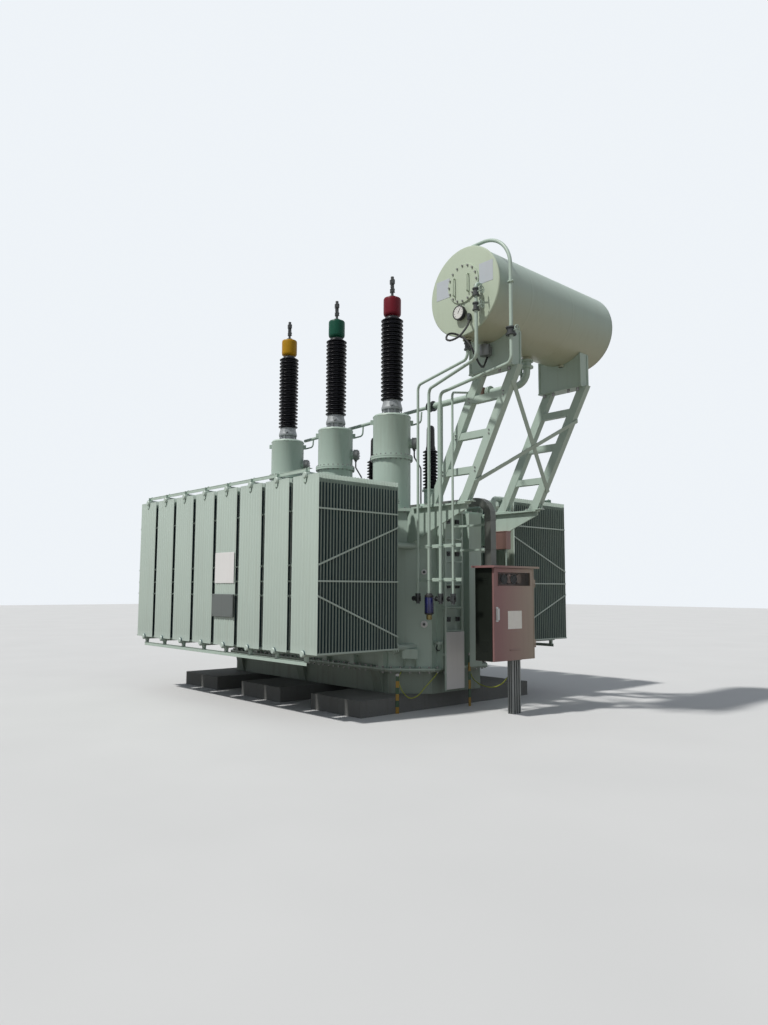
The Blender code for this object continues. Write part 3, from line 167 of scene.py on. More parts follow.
PAINT = look("pale_green_paint", (0.405, 0.507, 0.452), 0.42, vary=0.07, streaks=0.22, bump=0.06,
    dark=(0.2, 0.2, 0.155), spots=0.05, patch=1.4)
PANEL_PAINT = look("panel_paint", (0.435, 0.525, 0.482), 0.45, vary=0.06, streaks=0.16,
    dark=(0.28, 0.28, 0.23), spots=0.03, patch=1.1)
# Painted shade: a dark blue-green for the panel faces deep in the gaps between the radiators' panels, which
# are really the pale panel paint.
GAP_SHADE_PAINT = look("panel_gap_painted_shade", (0.072, 0.117, 0.134), 0.6, vary=0.1, spots=0.05, patch=1.1, shine=0.2)
# The drum's paint fades to a lighter brown towards its bottom: painted bounce light from the ground.
DRUM_PAINT_WITH_BOUNCE = look("drum_paint_with_painted_bounce", (0.36, 0.455, 0.4), 0.4, vary=0.06, streaks=0.14, dark=(0.26, 0.25, 0.19),
    spots=0.03, patch=1.0, fade=((0.44, 0.455, 0.345), 5.05, 4.55, "Z"))
# Painted sunlight: the drum's end is a lighter, warmer copy of the drum's paint, standing for the sun that
# falls on it.
DRUM_END_SUNLIT_PAINT = look("drum_end_painted_sunlight", (0.45, 0.53, 0.425), 0.4, vary=0.06, streaks=0.14,
    dark=(0.28, 0.28, 0.2), spots=0.03, patch=1.0)
# Worn, dirty paint for the tank's trough. On the innermost radiator panels' faces towards the tank it also
# stands as painted half-shade.
WORN_AND_SHADE_PAINT = look("worn_paint_and_painted_shade", (0.24, 0.29, 0.245), 0.55, vary=0.14, streaks=0.45, bump=0.14,
    dark=(0.13, 0.115, 0.085), spots=0.22, patch=2.6)
PORCELAIN = look("dark_porcelain", (0.005, 0.005, 0.008), 0.3, vary=0.35, streaks=0.15, grain=25, bump=0.02,
    dark=(0.018, 0.015, 0.015), patch=2.2, shine=0.16)
CONCRETE = look("cast_concrete", (0.17, 0.175, 0.17), 0.88, vary=0.22, streaks=0.35, grain=34, bump=0.55,
    dark=(0.12, 0.115, 0.1), spots=0.45, patch=3.0)
DUCT_STEEL = look("duct_steel", (0.125, 0.135, 0.125), 0.45, metal=0.35, streaks=0.25, grain=26, bump=0.08,
    spots=0.2, patch=6)
GALVANISED = look("galvanised_steel", (0.27, 0.285, 0.28), 0.48, metal=0.45, vary=0.22, streaks=0.15,
    grain=26, bump=0.08, spots=0.2, patch=9)
# Painted reflection: the cabinet steel's colour fades from pink to tan across it. This stands for the
# surroundings mirrored in the polished steel, which is itself kept nearly unmetallic.
STAINLESS = look("cabinet_steel", (0.275, 0.15, 0.15), 0.36, metal=0.15, vary=0.14, streaks=0.1, grain=240,
    dark=(0.1, 0.08, 0.07), stretch=(1, 1, 0.02), patch=1.3, shine=0.3,
    fade=((0.37, 0.32, 0.255), -0.35, 0.45, "Y"))
# Painted reflection: near black for the polished sides of the cabinet, standing for the dark surroundings they
# mirror.
DARK_REFLECTION_STEEL = look("cabinet_side_painted_reflection", (0.011, 0.014, 0.011), 0.4, vary=0.35, grain=240,
    stretch=(1, 1, 0.02), patch=2.5, shine=0.15)
BROWN_STEEL = look("brown_box_steel", (0.23, 0.135, 0.12), 0.42, metal=0.3, vary=0.15, grain=120,
    dark=(0.09, 0.06, 0.05), patch=6)
GREY_CAP = look("grey_casting", (0.17, 0.18, 0.18), 0.42, metal=0.3, vary=0.2, grain=90, bump=0.15,
    spots=0.12)
PALE_CASTING = look("pale_casting", (0.3, 0.32, 0.335), 0.42, metal=0.25, vary=0.15, streaks=0.25, grain=90,
    bump=0.15, dark=(0.16, 0.15, 0.13), spots=0.12, patch=6)
RUBBER_HOSE = look("hose_rubber", (0.014, 0.014, 0.015), 0.6, vary=0.25, grain=220, bump=0.3,
    dark=(0.05, 0.047, 0.04), spots=0.2)
EARTH_CABLE = look("earth_cable_cover", (0.36, 0.4, 0.05), 0.5, streaks=0.3, grain=50,
    dark=(0.08, 0.12, 0.03), spots=0.2, patch=14)
CASTING = look("cast_aluminium", (0.42, 0.44, 0.44), 0.42, metal=0.7, vary=0.15, grain=90, bump=0.2,
    spots=0.15, patch=6)
BOLT_STEEL = look("bolt_steel", (0.24, 0.24, 0.235), 0.45, metal=0.75, vary=0.25, streaks=0.3, grain=120,
    bump=0.1, dark=(0.12, 0.07, 0.04), spots=0.3, patch=12)
DARK_CAST = look("dark_casting", (0.045, 0.05, 0.052), 0.45, metal=0.2, vary=0.25, grain=90, bump=0.15,
    dark=(0.09, 0.085, 0.07), spots=0.12)
BLACK_RUBBER = look("black_boot", (0.012, 0.012, 0.013), 0.55, grain=70, bump=0.12, dark=(0.05, 0.047, 0.04),
    spots=0.1, patch=5)
YELLOW = look("cap_yellow_paint", (0.4, 0.215, 0.004), 0.42, vary=0.1, streaks=0.25, bump=0.06,
    dark=(0.17, 0.1, 0.01), spots=0.06, shine=0.2)
GREEN = look("cap_green_paint", (0.001, 0.066, 0.038), 0.42, vary=0.12, bump=0.06, dark=(0.002, 0.04, 0.025),
    spots=0.06, shine=0.2)
RED = look("cap_red_paint", (0.135, 0.003, 0.012), 0.42, vary=0.12, bump=0.06, dark=(0.07, 0.004, 0.01),
    spots=0.06, shine=0.2)
WHITE_PLATE = look("bare_white_plate", (0.72, 0.72, 0.73), 0.35, vary=0.04, streaks=0.12, bump=0.03,
    dark=(0.42, 0.41, 0.37), patch=4)
PALE_PATCH = look("pale_patch_paint", (0.46, 0.505, 0.555), 0.45, vary=0.05, streaks=0.1, bump=0.03,
    dark=(0.34, 0.34, 0.29), patch=3)
GREY_PLATE = look("bare_grey_plate", (0.12, 0.135, 0.13), 0.38, metal=0.35, vary=0.1, grain=160, spots=0.06,
    patch=5)
RUST = look("rusty_steel", (0.085, 0.05, 0.034), 0.8, streaks=0.3, bump=0.4, spots=0.4, patch=9)
EARTH_YELLOW = look("earth_yellow", (0.34, 0.2, 0.025), 0.5, streaks=0.6, bump=0.1, dark=(0.16, 0.11, 0.03),
    spots=0.25, patch=9)
EARTH_GREEN = look("earth_green", (0.018, 0.055, 0.022), 0.5, streaks=0.5, bump=0.1, spots=0.2, patch=9)
DIAL_FACE = look("dial_face", (0.66, 0.67, 0.66), 0.3, vary=0.05, streaks=0.05, bump=0.02, patch=20)
# The real white of the cabinet's dials and door label, brightened beyond the other whites as painted light
# where they sit in shade.
BRIGHTENED_CABINET_WHITE = look("cabinet_white_with_painted_light", (0.92, 0.91, 0.88), 0.3, vary=0.05, streaks=0.05, bump=0.02,
    patch=20)
BLUE_GEL = look("blue_gel", (0.014, 0.018, 0.115), 0.22, vary=0.35, streaks=0.0, grain=190, bump=0.5,
    dark=(0.008, 0.01, 0.06), spots=0.5, clear=0.25, patch=30)
BRASS = look("dull_brass", (0.2, 0.165, 0.06), 0.4, metal=0.5, vary=0.15, grain=90, bump=0.1, spots=0.15,
    patch=10)
WINDOW = look("tinted_window", (0.035, 0.038, 0.038), 0.1, vary=0.1, streaks=0.05, grain=30, bump=0.005,
    patch=5, alpha=0.15)


# Mesh tools

AXIS_HOLE = 0.002


def turned(place, angle, axis):
    """A move to a place after a turn about one axis."""
    return Matrix.Translation(place) @ Matrix.Rotation(angle, 4, axis)


def across(axis):
    """The unit vector along an axis and two more that are square to it."""
    along = Vector(axis).normalized()
    side = along.orthogonal().normalized()
    return along, side, along.cross(side)


def circle(centre, side, up, radius, count):
    return [centre + side * radius * math.cos(step * math.tau / count)
            + up * radius * math.sin(step * math.tau / count) for step in range(count)]


class Shape:
    """Collects simple bodies into one mesh, in the frame of the whole object."""

    def __init__(self):
        self.mesh = bmesh.new()

    def box(self, low, high, bevel=0.0, turn=None):
        corners = [
            self.mesh.verts.new((x, y, z))
            for x in (low[0], high[0]) for y in (low[1], high[1]) for z in (low[2], high[2])]
        sides = ((0, 1, 3, 2), (4, 6, 7, 5), (0, 4, 5, 1), (2, 3, 7, 6), (0, 2, 6, 4), (1, 5, 7, 3))
        faces = [self.mesh.faces.new([corners[index] for index in side]) for side in sides]
        bmesh.ops.recalc_face_normals(self.mesh, faces=faces)
        made = corners
        if bevel:
            edges = list({edge for face in faces for edge in face.edges})
            result = bmesh.ops.bevel(
                self.mesh, geom=edges, offset=bevel, segments=1, profile=0.5, affect="EDGES")
            made = list({v for face in result["faces"] for v in face.verts})
        if turn is not None:
            bmesh.ops.transform(self.mesh, matrix=turn, verts=made)

    def block(self, x, y, low, high, half_x, half_y, bevel=0.0):
        """A box about an upright line, between two heights."""
        self.box((x - half_x, y - half_y, low), (x + half_x, y + half_y, high), bevel)

    def rings(self, loops):
        """Skins a row of point loops of the same length and closes both ends."""
        rows = [[self.mesh.verts.new(point) for point in loop] for loop in loops]
        count = len(rows[0])
        faces = []
        for row, following in zip(rows, rows[1:]):
            for index in range(count):
                after = (index + 1) % count
                faces.append(self.mesh.faces.new((row[index], row[after], following[after], following[index])))
        faces.append(self.mesh.faces.new(rows[0][::-1]))
        faces.append(self.mesh.faces.new(rows[-1]))
        bmesh.ops.recalc_face_normals(self.mesh, faces=faces)

    def rod(self, start, end, radius, count=16, end_radius=None):
        start = Vector(start)
        end = Vector(end)
        _, side, up = across(end - start)
        last = radius if end_radius is None else end_radius
        self.rings([circle(start, side, up, radius, count), circle(end, side, up, last, count)])

    def pole(self, x, y, start, end, radius, count=16):
        """An upright rod between two heights."""
        self.rod((x, y, start), (x, y, end), radius, count)

    def bar(self, start, end, y, z, radius, count=16):
        """A level rod along X."""
        self.rod((start, y, z), (end, y, z), radius, count)

    def tube(self, path, radius, count=12):
        """A round pipe that follows a path without twisting."""
        path = [Vector(point) for point in path]
        side = across(path[1] - path[0])[1]
        loops = []
        for before, point, after in zip(path[:1] + path, path, path[1:] + path[-1:]):
            here = (after - before).normalized()
            side = (side - here * side.dot(here)).normalized()
            loops.append(circle(point, side, here.cross(side), radius, count))
        self.rings(loops)

    def lathe(self, profile, centre, count=48, axis=UP, closed=True):
        """A turned body from (radius, height) points along an axis, closed at the axis."""
        along, side, up = across(axis)
        if closed:
            first, last = profile[0], profile[-1]
            profile = ([(AXIS_HOLE, first[1])] if first[0] > AXIS_HOLE else []) + profile
            profile += [(AXIS_HOLE, last[1])] if last[0] > AXIS_HOLE else []
        self.rings([circle(Vector(centre) + along * height, side, up, radius, count)
                    for radius, height in profile])

    def bolt(self, centre, axis, radius=0.014, height=0.014):
        centre = Vector(centre)
        self.rod(centre, centre + Vector(axis).normalized() * height, radius, 6)

    def bolt_ring(self, centre, axis, ring, count, radius=0.012, height=0.012):
        _, side, up = across(axis)
        for spot in circle(Vector(centre), side, up, ring, count):
            self.bolt(spot, axis, radius, height)


def rounded(points, bends, steps=7):
    """The points of a path whose corners are turned with arcs of the given radii."""
    route = [Vector(points[0])]
    for before, corner, after, radius in zip(points, points[1:], points[2:], bends):
        corner = Vector(corner)
        back = (Vector(before) - corner).normalized()
        ahead = (Vector(after) - corner).normalized()
        half = back.angle(ahead) / 2
        reach = radius / math.tan(half)
        middle = corner + (back + ahead).normalized() * (radius / math.sin(half))
        start = (corner + back * reach - middle).normalized()
        end = (corner + ahead * reach - middle).normalized()
        for step in range(steps + 1):
            route.append(middle + start.slerp(end, step / steps) * radius)
    route.append(Vector(points[-1]))
    return route


def piece(name, shape, finish, replaces=None, body=BODY, angle=35):
    """Turns a collected shape into a visible piece that rides on a body."""
    mesh = bpy.data.meshes.new(name)
    shape.mesh.to_mesh(mesh)
    shape.mesh.free()
    mesh.materials.append(finish)
    mesh.shade_smooth()
    mesh.set_sharp_from_angle(angle=math.radians(angle))
    return dress(name, mesh, replaces, body)


def dress(name, mesh, replaces=None, body=BODY):
    """Puts a finished mesh in the scene on its body, and hides the solid it replaces."""
    made = bpy.data.objects.new(name, mesh)
    bpy.context.scene.collection.objects.link(made)
    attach(made, body)
    if replaces:
        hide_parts(replaces)
    return made


def coat(finish, *names):
    """Gives CAD nodes a better material."""
    for name in names:
        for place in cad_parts[name].material_slots:
            place.material = finish


def radiator_x(index):
    return (3.5 - index) * RADIATOR_PITCH


# Radiators: pressed panels on round headers, tied by flat straps

PANELS = 28
HEADER_RADIUS = 0.042
NECK_Y = 0.96
NECK_Z = 2.458
END_NECK_Z = 2.115
FLUTES = 8
PANEL_HALF = 0.0065
FRONT_HALF = 0.01
SEAM_HALF = 0.0016
SEAM_WIDTH = 0.014
STRAP_WIDTH = 0.02
STRAP_THICK = 0.004


def panel_outline(depth, y, swell):
    """The plan of one pressed panel: flat seams at the edges and oil channels between them."""
    half = RADIATOR_WIDTH / 2
    front = [(-half, SEAM_HALF)]
    span = (RADIATOR_WIDTH - 2 * SEAM_WIDTH) / FLUTES
    for flute in range(FLUTES):
        left = -half + SEAM_WIDTH + flute * span
        crest = SEAM_HALF + (swell - SEAM_HALF) * depth
        front += [(left + span * 0.08, SEAM_HALF), (left + span * 0.3, crest),
                  (left + span * 0.7, crest), (left + span * 0.92, SEAM_HALF)]
    front.append((half, SEAM_HALF))
    loop = [(x, y + rise) for x, rise in front]
    loop += [(x, y - rise) for x, rise in reversed(front)]
    return loop


def radiator_mesh(wall, neck_z):
    """One radiator of the low voltage side, centred on x = 0, with its pipes from the wall."""
    shape = Shape()
    inner = RADIATOR_REACH - BANK_DEPTH
    spacing = (BANK_DEPTH - 2 * PANEL_HALF) / (PANELS - 1)
    for index in range(PANELS):
        front = index == PANELS - 1
        half = FRONT_HALF if front else PANEL_HALF
        y = inner + PANEL_HALF + index * spacing - (FRONT_HALF - PANEL_HALF if front else 0)
        levels = [(RADIATOR_BOTTOM, 0.25), (RADIATOR_BOTTOM + 0.078, 0.25), (RADIATOR_BOTTOM + 0.1, 1),
                  (RADIATOR_TOP - 0.1, 1), (RADIATOR_TOP - 0.078, 0.25), (RADIATOR_TOP, 0.25)]
        if index not in (0, PANELS - 1):
            levels = [levels[0], levels[2], levels[3], levels[5]]
        shape.rings([[(x, side, z) for x, side in panel_outline(depth, y, half)] for z, depth in levels])
    low = RADIATOR_BOTTOM + 0.002
    high = RADIATOR_TOP - 0.002
    neck = NECK_Y + 0.035
    shape.rod((0, wall, low), (0, inner, low), HEADER_RADIUS, 20)
    shape.tube(rounded([
        (0, wall, neck_z), (0, neck, neck_z), (0, neck, high), (0, RADIATOR_REACH + 0.012, high)],
        (0.07, 0.07)), HEADER_RADIUS - 0.002, 20)
    for z in (low, high):
        shape.rod((0, inner - 0.02, z), (0, RADIATOR_REACH + 0.012, z), HEADER_RADIUS, 20)
        shape.rod((0, RADIATOR_REACH + 0.01, z), (0, RADIATOR_REACH + 0.022, z), HEADER_RADIUS, 20, 0.03)
    for y in (0.962, 0.995):
        shape.rod((0, y, low), (0, y + 0.02, low), 0.08, 24)
    shape.bolt_ring((0, 1.015, low), BACK, 0.064, 6, 0.009, 0.01)
    for z in (2.655, 2.688):
        shape.pole(0, neck, z, z + 0.02, 0.078, 24)
    shape.bolt_ring((0, neck, 2.708), UP, 0.062, 6, 0.009, 0.01)
    shape.bar(0.06, 0.15, neck, 2.6815, 0.007, 8)
    outer = RADIATOR_REACH - 0.004
    near = inner + 0.004
    straps = ((2.482, 2.482), (1.823, 2.319), (1.64, 1.64), (1.473, 0.961),
              (RADIATOR_BOTTOM + 0.012, RADIATOR_BOTTOM + 0.012))
    for side in (-1, 1):
        x = side * (RADIATOR_WIDTH / 2 + STRAP_THICK / 2)
        for start, end in straps:
            low = Vector((x, outer, start))
            high = Vector((x, near, end))
            run = high - low
            turn = turned((low + high) / 2, math.atan2(run.z, run.y), "X")
            shape.box((-STRAP_THICK / 2, -run.length / 2, -STRAP_WIDTH / 2),
                      (STRAP_THICK / 2, run.length / 2, STRAP_WIDTH / 2), turn=turn)
    mesh = bpy.data.meshes.new("radiator")
    shape.mesh.to_mesh(mesh)
    shape.mesh.free()
    for finish in (PANEL_PAINT, GAP_SHADE_PAINT, WORN_AND_SHADE_PAINT):
        mesh.materials.append(finish)
    mesh.shade_smooth()
    mesh.set_sharp_from_angle(angle=math.radians(40))
    # Painted shade: faces inside the gaps take the dark gap paint. This covers faces inside the edge seams and
    # below a band at the top where the sun reaches. The innermost panel's face towards the tank takes the worn
    # paint as half painted shade.
    for face in mesh.polygons:
        deep = abs(face.center.x) < RADIATOR_WIDTH / 2 - SEAM_WIDTH and inner - 0.002 < face.center.y
        behind = face.center.y < RADIATOR_REACH - 2 * FRONT_HALF or face.normal.y < -0.3
        if deep and behind and RADIATOR_BOTTOM < face.center.z < RADIATOR_TOP - 0.09:
            face.material_index = 2 if face.center.y < inner + 2 * PANEL_HALF and face.normal.y < 0 else 1
    return mesh


def radiators():
    """Both banks. The end radiators' lower necks start from the tank's cut-off corners."""
    middle = radiator_mesh(0.877, NECK_Z)
    end = radiator_mesh(0.6, END_NECK_Z)
    for side, turn in (("hv", math.pi), ("lv", 0)):
        for index in range(8):
            own = (end if index in (0, 7) else middle).copy()
            own.transform(turned((radiator_x(index), 0, 0), turn, "Z"))
            name = f"{side}_radiator_{index + 1}"
            dress(f"{name}_panels", own, name)


def ties():
    """The bars over and under each bank, with their brackets, stands and bolts."""
    end = radiator_x(0) + 0.035
    for side, sign in (("hv", -1), ("lv", 1)):
        outer = sign * RADIATOR_REACH
        bar = sign * (RADIATOR_REACH - 0.055)
        face = outer + sign * 0.01
        top = Shape()
        top.block(0, bar, 2.968, 2.974, end, 0.024, 0.001)
        top.block(0, bar + sign * 0.018, 2.93, 2.974, end, 0.003, 0.001)
        low = Shape()
        low.block(0, bar, 0.705, 0.711, end, 0.025, 0.001)
        low.block(0, bar + sign * 0.022, 0.665, 0.711, end, 0.003, 0.001)
        for x in map(radiator_x, range(8)):
            for y0, y1, z0, z1, half, bevel in (
                    (bar, face, 2.925, 2.931, 0.026, 0.001),
                    (face, outer + sign * 0.004, 2.8, 2.931, 0.026, 0.001),
                    (bar, outer, 2.895, 2.97, 0.004, 0)):
                top.box((x - half, min(y0, y1), z0), (x + half, max(y0, y1), z1), bevel)
            top.bolt((x, bar, 2.974), UP, 0.012, 0.012)
            top.rod((x, outer + sign * 0.008, 2.87), (x, outer + sign * 0.02, 2.87), 0.018)
            low.block(x, bar, 0.711, 0.765, 0.022, 0.02, 0.002)
            low.pole(x, bar, 0.745, 0.775, 0.03)
            low.bolt((x, bar, 0.705), DOWN, 0.012, 0.012)
        piece(f"{side}_top_tie_bar", top, PAINT, f"{side}_top_tie")
        piece(f"{side}_bottom_tie_bar", low, PAINT, f"{side}_bottom_tie")


def bank_plates():
    """The bare sign and the bare grey box lid on the fourth radiator of the near bank."""
    x = radiator_x(3)
    face = -RADIATOR_REACH - 0.001
    sign = Shape()
    sign.box((x - 0.245, face - 0.006, 1.62), (x + 0.245, face, 2.03), 0.002)
    piece("bank_sign", sign, WHITE_PLATE)
    lid = Shape()
    lid.box((x - 0.27, face - 0.03, 1.175), (x + 0.27, face, 1.475), 0.006)
    for dx in (-0.24, 0.24):
        for z in (1.2, 1.45):
            lid.bolt((x + dx, face - 0.03, z), FORWARD, 0.008, 0.005)
    piece("bank_box", lid, GREY_PLATE)


# High voltage side

def shed_row(bottom, top, core, rim, count):
    """Upper slope, thin rounded rim and hollow underside of each shed, from the top down."""
    profile = []
    pitch = (top - bottom) / count
    middle = core + (rim - core) * 0.55
    for index in range(count):
        ceiling = top - index * pitch
        profile += [(radius, ceiling - pitch * fall) for radius, fall in (
            (core, 0), (core + 0.002, 0.14), (middle, 0.32), (rim - 0.004, 0.43), (rim, 0.5), (rim, 0.58),
            (rim - 0.004, 0.66), (middle, 0.67), (core + 0.003, 0.74))]
    profile.append((core, bottom))
    return profile


def turret(letter, x):
    """A round turret in two lengths, with its current transformer box, conduit and bolts."""
    base = COVER_TOP + 0.0003
    height = TURRET_HEIGHT
    radius = TURRET_RADIUS
    foot = (x, PHASE_Y, base)
    body = Shape()
    body.lathe([
        (radius - 0.03, height), (radius - 0.012, height - 0.004), (radius + 0.002, height - 0.018),
        (radius + 0.006, height - 0.03), (radius, height - 0.042), (radius, 0.828), (radius + 0.033, 0.826),
        (radius + 0.033, 0.803), (radius + 0.028, 0.8), (radius + 0.033, 0.797), (radius + 0.033, 0.774),
        (radius, 0.772), (radius, 0.03), (radius + 0.03, 0.028), (radius + 0.03, 0)], foot, 72)
    box_at = Vector((x, PHASE_Y, base + 1.02))
    out = Vector((math.cos(CT_ANGLE), math.sin(CT_ANGLE), 0))
    body.rod(box_at + out * (radius - 0.02), box_at + out * (radius + 0.035), 0.07, 24)
    body.tube(rounded([
        (x + 0.26, PIPE_Y, 4.125), (x + 0.245, PIPE_Y, 3.965), (x + 0.04, PIPE_Y - 0.02, 3.955),
        (x + 0.04, PHASE_Y + radius - 0.03, 3.955)], (0.06, 0.035)), 0.013, 10)
    for angle in (math.radians(228), math.radians(52)):
        lug = radius + 0.012
        spot = Vector((x + lug * math.cos(angle), PHASE_Y + lug * math.sin(angle), 0))
        body.box((-0.02, -0.006, base + 1.3), (0.028, 0.006, base + 1.37), 0.002, turned(spot, angle, "Z"))
    piece(f"turret_{letter}_shell", body, PAINT, f"hv_turret_{letter}", angle=30)
    caps = Shape()
    caps.lathe([
        (0.06, 0.104), (0.082, 0.09), (0.085, 0.082), (0.085, 0.036), (0.088, 0.034), (0.088, 0.028)],
        box_at + out * radius, 32, out)
    caps.bolt_ring(box_at + out * (radius + 0.104), out, 0.066, 8, 0.007, 0.006)
    piece(f"turret_{letter}_ct_box", caps, GREY_CAP)
    conduit = Shape()
    under = box_at + out * (radius + 0.055)
    conduit.tube(rounded([
        under - Vector((0, 0, 0.07)), under - Vector((0, 0, 0.2)), (x + 0.325, -0.045, under.z - 0.36),
        (x + 0.325, -0.045, COVER_TOP + 0.012)], (0.06, 0.08)), 0.011, 10)
    conduit.rod(under - Vector((0, 0, 0.108)), under - Vector((0, 0, 0.075)), 0.019, 12)
    conduit.pole(x + 0.325, -0.045, COVER_TOP, COVER_TOP + 0.02, 0.026, 12)
    piece(f"turret_{letter}_conduit", conduit, DARK_CAST)
    bolts = Shape()
    for z, axis, ring, count, size, length in (
            (0.828, UP, radius + 0.02, 24, 0.01, 0.014), (0.772, DOWN, radius + 0.02, 24, 0.01, 0.014),
            (0.028, UP, radius + 0.018, 24, 0.01, 0.014), (height, UP, 0.2, 12, 0.011, 0.012)):
        bolts.bolt_ring((x, PHASE_Y, base + z), axis, ring, count, size, length)
    piece(f"turret_{letter}_bolts", bolts, BOLT_STEEL)


def bushing(letter, x, paint):
    """A shedded bushing on its cast foot, with its test tap, painted cap and terminal."""
    foot = COVER_TOP + TURRET_HEIGHT + 0.0006
    sheds_bottom = 0.217
    sheds_top = 1.45
    centre = (x, PHASE_Y, foot)
    body = Shape()
    body.lathe(shed_row(sheds_bottom, sheds_top, 0.122, 0.163, 20), centre)
    piece(f"bushing_{letter}_sheds", body, PORCELAIN, f"hv_bushing_{letter}", angle=50)
    metal = Shape()
    metal.lathe([
        (0.126, 0.227), (0.132, 0.219), (0.134, 0.187), (0.152, 0.122), (0.154, 0.112), (0.154, 0.09),
        (0.15, 0.084), (0.112, 0.082), (0.11, 0.03), (0.114, 0.024), (0.156, 0.022), (0.158, 0.018),
        (0.158, 0.002), (0.154, 0)], centre)
    for index in range(10):
        angle = index * math.tau / 10 + 0.2
        sx = x + 0.138 * math.cos(angle)
        sy = PHASE_Y + 0.138 * math.sin(angle)
        metal.pole(sx, sy, foot + 0.02, foot + 0.086, 0.0075, 10)
        metal.bolt((sx, sy, foot + 0.022), UP, 0.013, 0.014)
    tap = Vector((1, -1, 0)).normalized()
    at = Vector((x, PHASE_Y, foot + 0.15))
    metal.rod(at + tap * 0.11, at + tap * 0.165, 0.024)
    metal.rod(at + tap * 0.16, at + tap * 0.178, 0.029)
    piece(f"bushing_{letter}_foot", metal, PALE_CASTING)
    bottom = foot + sheds_top + 0.0003
    cap = Shape()
    cap.lathe([
        (0.104, 0.318), (0.121, 0.311), (0.1285, 0.296), (0.1295, 0.28), (0.1295, 0.088), (0.127, 0.066),
        (0.118, 0.05), (0.104, 0.042), (0.094, 0.04), (0.092, 0.034)], (x, PHASE_Y, bottom))
    piece(f"phase_cap_{letter}", cap, paint, f"hv_cap_{letter}")
    stud = Shape()
    top = bottom + 0.318
    stud.lathe([(0.09, 0.036), (0.092, 0.03), (0.098, 0.008), (0.1, 0)], (x, PHASE_Y, bottom), 40)
    stud.lathe([(0.05, 0.03), (0.055, 0.024), (0.055, 0.008), (0.072, 0.006), (0.072, 0)],
               (x, PHASE_Y, top), 32)
    stud.pole(x, PHASE_Y, top + 0.02, top + 0.165, 0.02, 20)
    stud.block(x, PHASE_Y, top + 0.085, top + 0.15, 0.034, 0.02, 0.004)
    stud.block(x, PHASE_Y, top + 0.15, top + 0.225, 0.012, 0.03, 0.004)
    stud.block(x, PHASE_Y, top + 0.215, top + 0.29, 0.036, 0.024, 0.005)
    stud.pole(x, PHASE_Y, top + 0.28, top + 0.33, 0.024)
    for z in (0.1, 0.135, 0.235, 0.27):
        for side in (-1, 1):
            stud.bolt((x + 0.012, PHASE_Y + side * 0.02, top + z), (0, side, 0), 0.01, 0.014)
    piece(f"terminal_{letter}", stud, DARK_CAST)


def low_voltage():
    """Three smaller bushings on round stands, each under a black boot."""
    for letter, index in (("a", -1), ("b", 0), ("c", 1)):
        x, y, base = foot = (index * 1.3, 0.5, COVER_TOP + 0.0003)
        sheds = Shape()
        sheds.lathe(shed_row(0.43, 1.03, 0.085, 0.12, 12), foot, 40)
        piece(f"lv_{letter}_sheds", sheds, PORCELAIN, f"lv_bushing_{letter}", angle=50)
        stand = Shape()
        stand.lathe([
            (0.128, 0.428), (0.13, 0.404), (0.104, 0.4), (0.104, 0.03), (0.13, 0.028), (0.13, 0)],
            foot, 40)
        piece(f"lv_{letter}_stand", stand, PAINT)
        boot = Shape()
        boot.lathe([
            (0.03, 1.41), (0.05, 1.395), (0.06, 1.36), (0.064, 1.1), (0.074, 1.06), (0.074, 1.031)],
            foot, 32)
        piece(f"lv_{letter}_boot", boot, BLACK_RUBBER)
        bolts = Shape()
        bolts.bolt_ring((x, y, base + 0.028), UP, 0.118, 10, 0.009, 0.012)
        bolts.bolt_ring((x, y, base + 0.404), DOWN, 0.118, 10, 0.009, 0.012)
        piece(f"lv_{letter}_bolts", bolts, BOLT_STEEL)


# Conservator and its frames

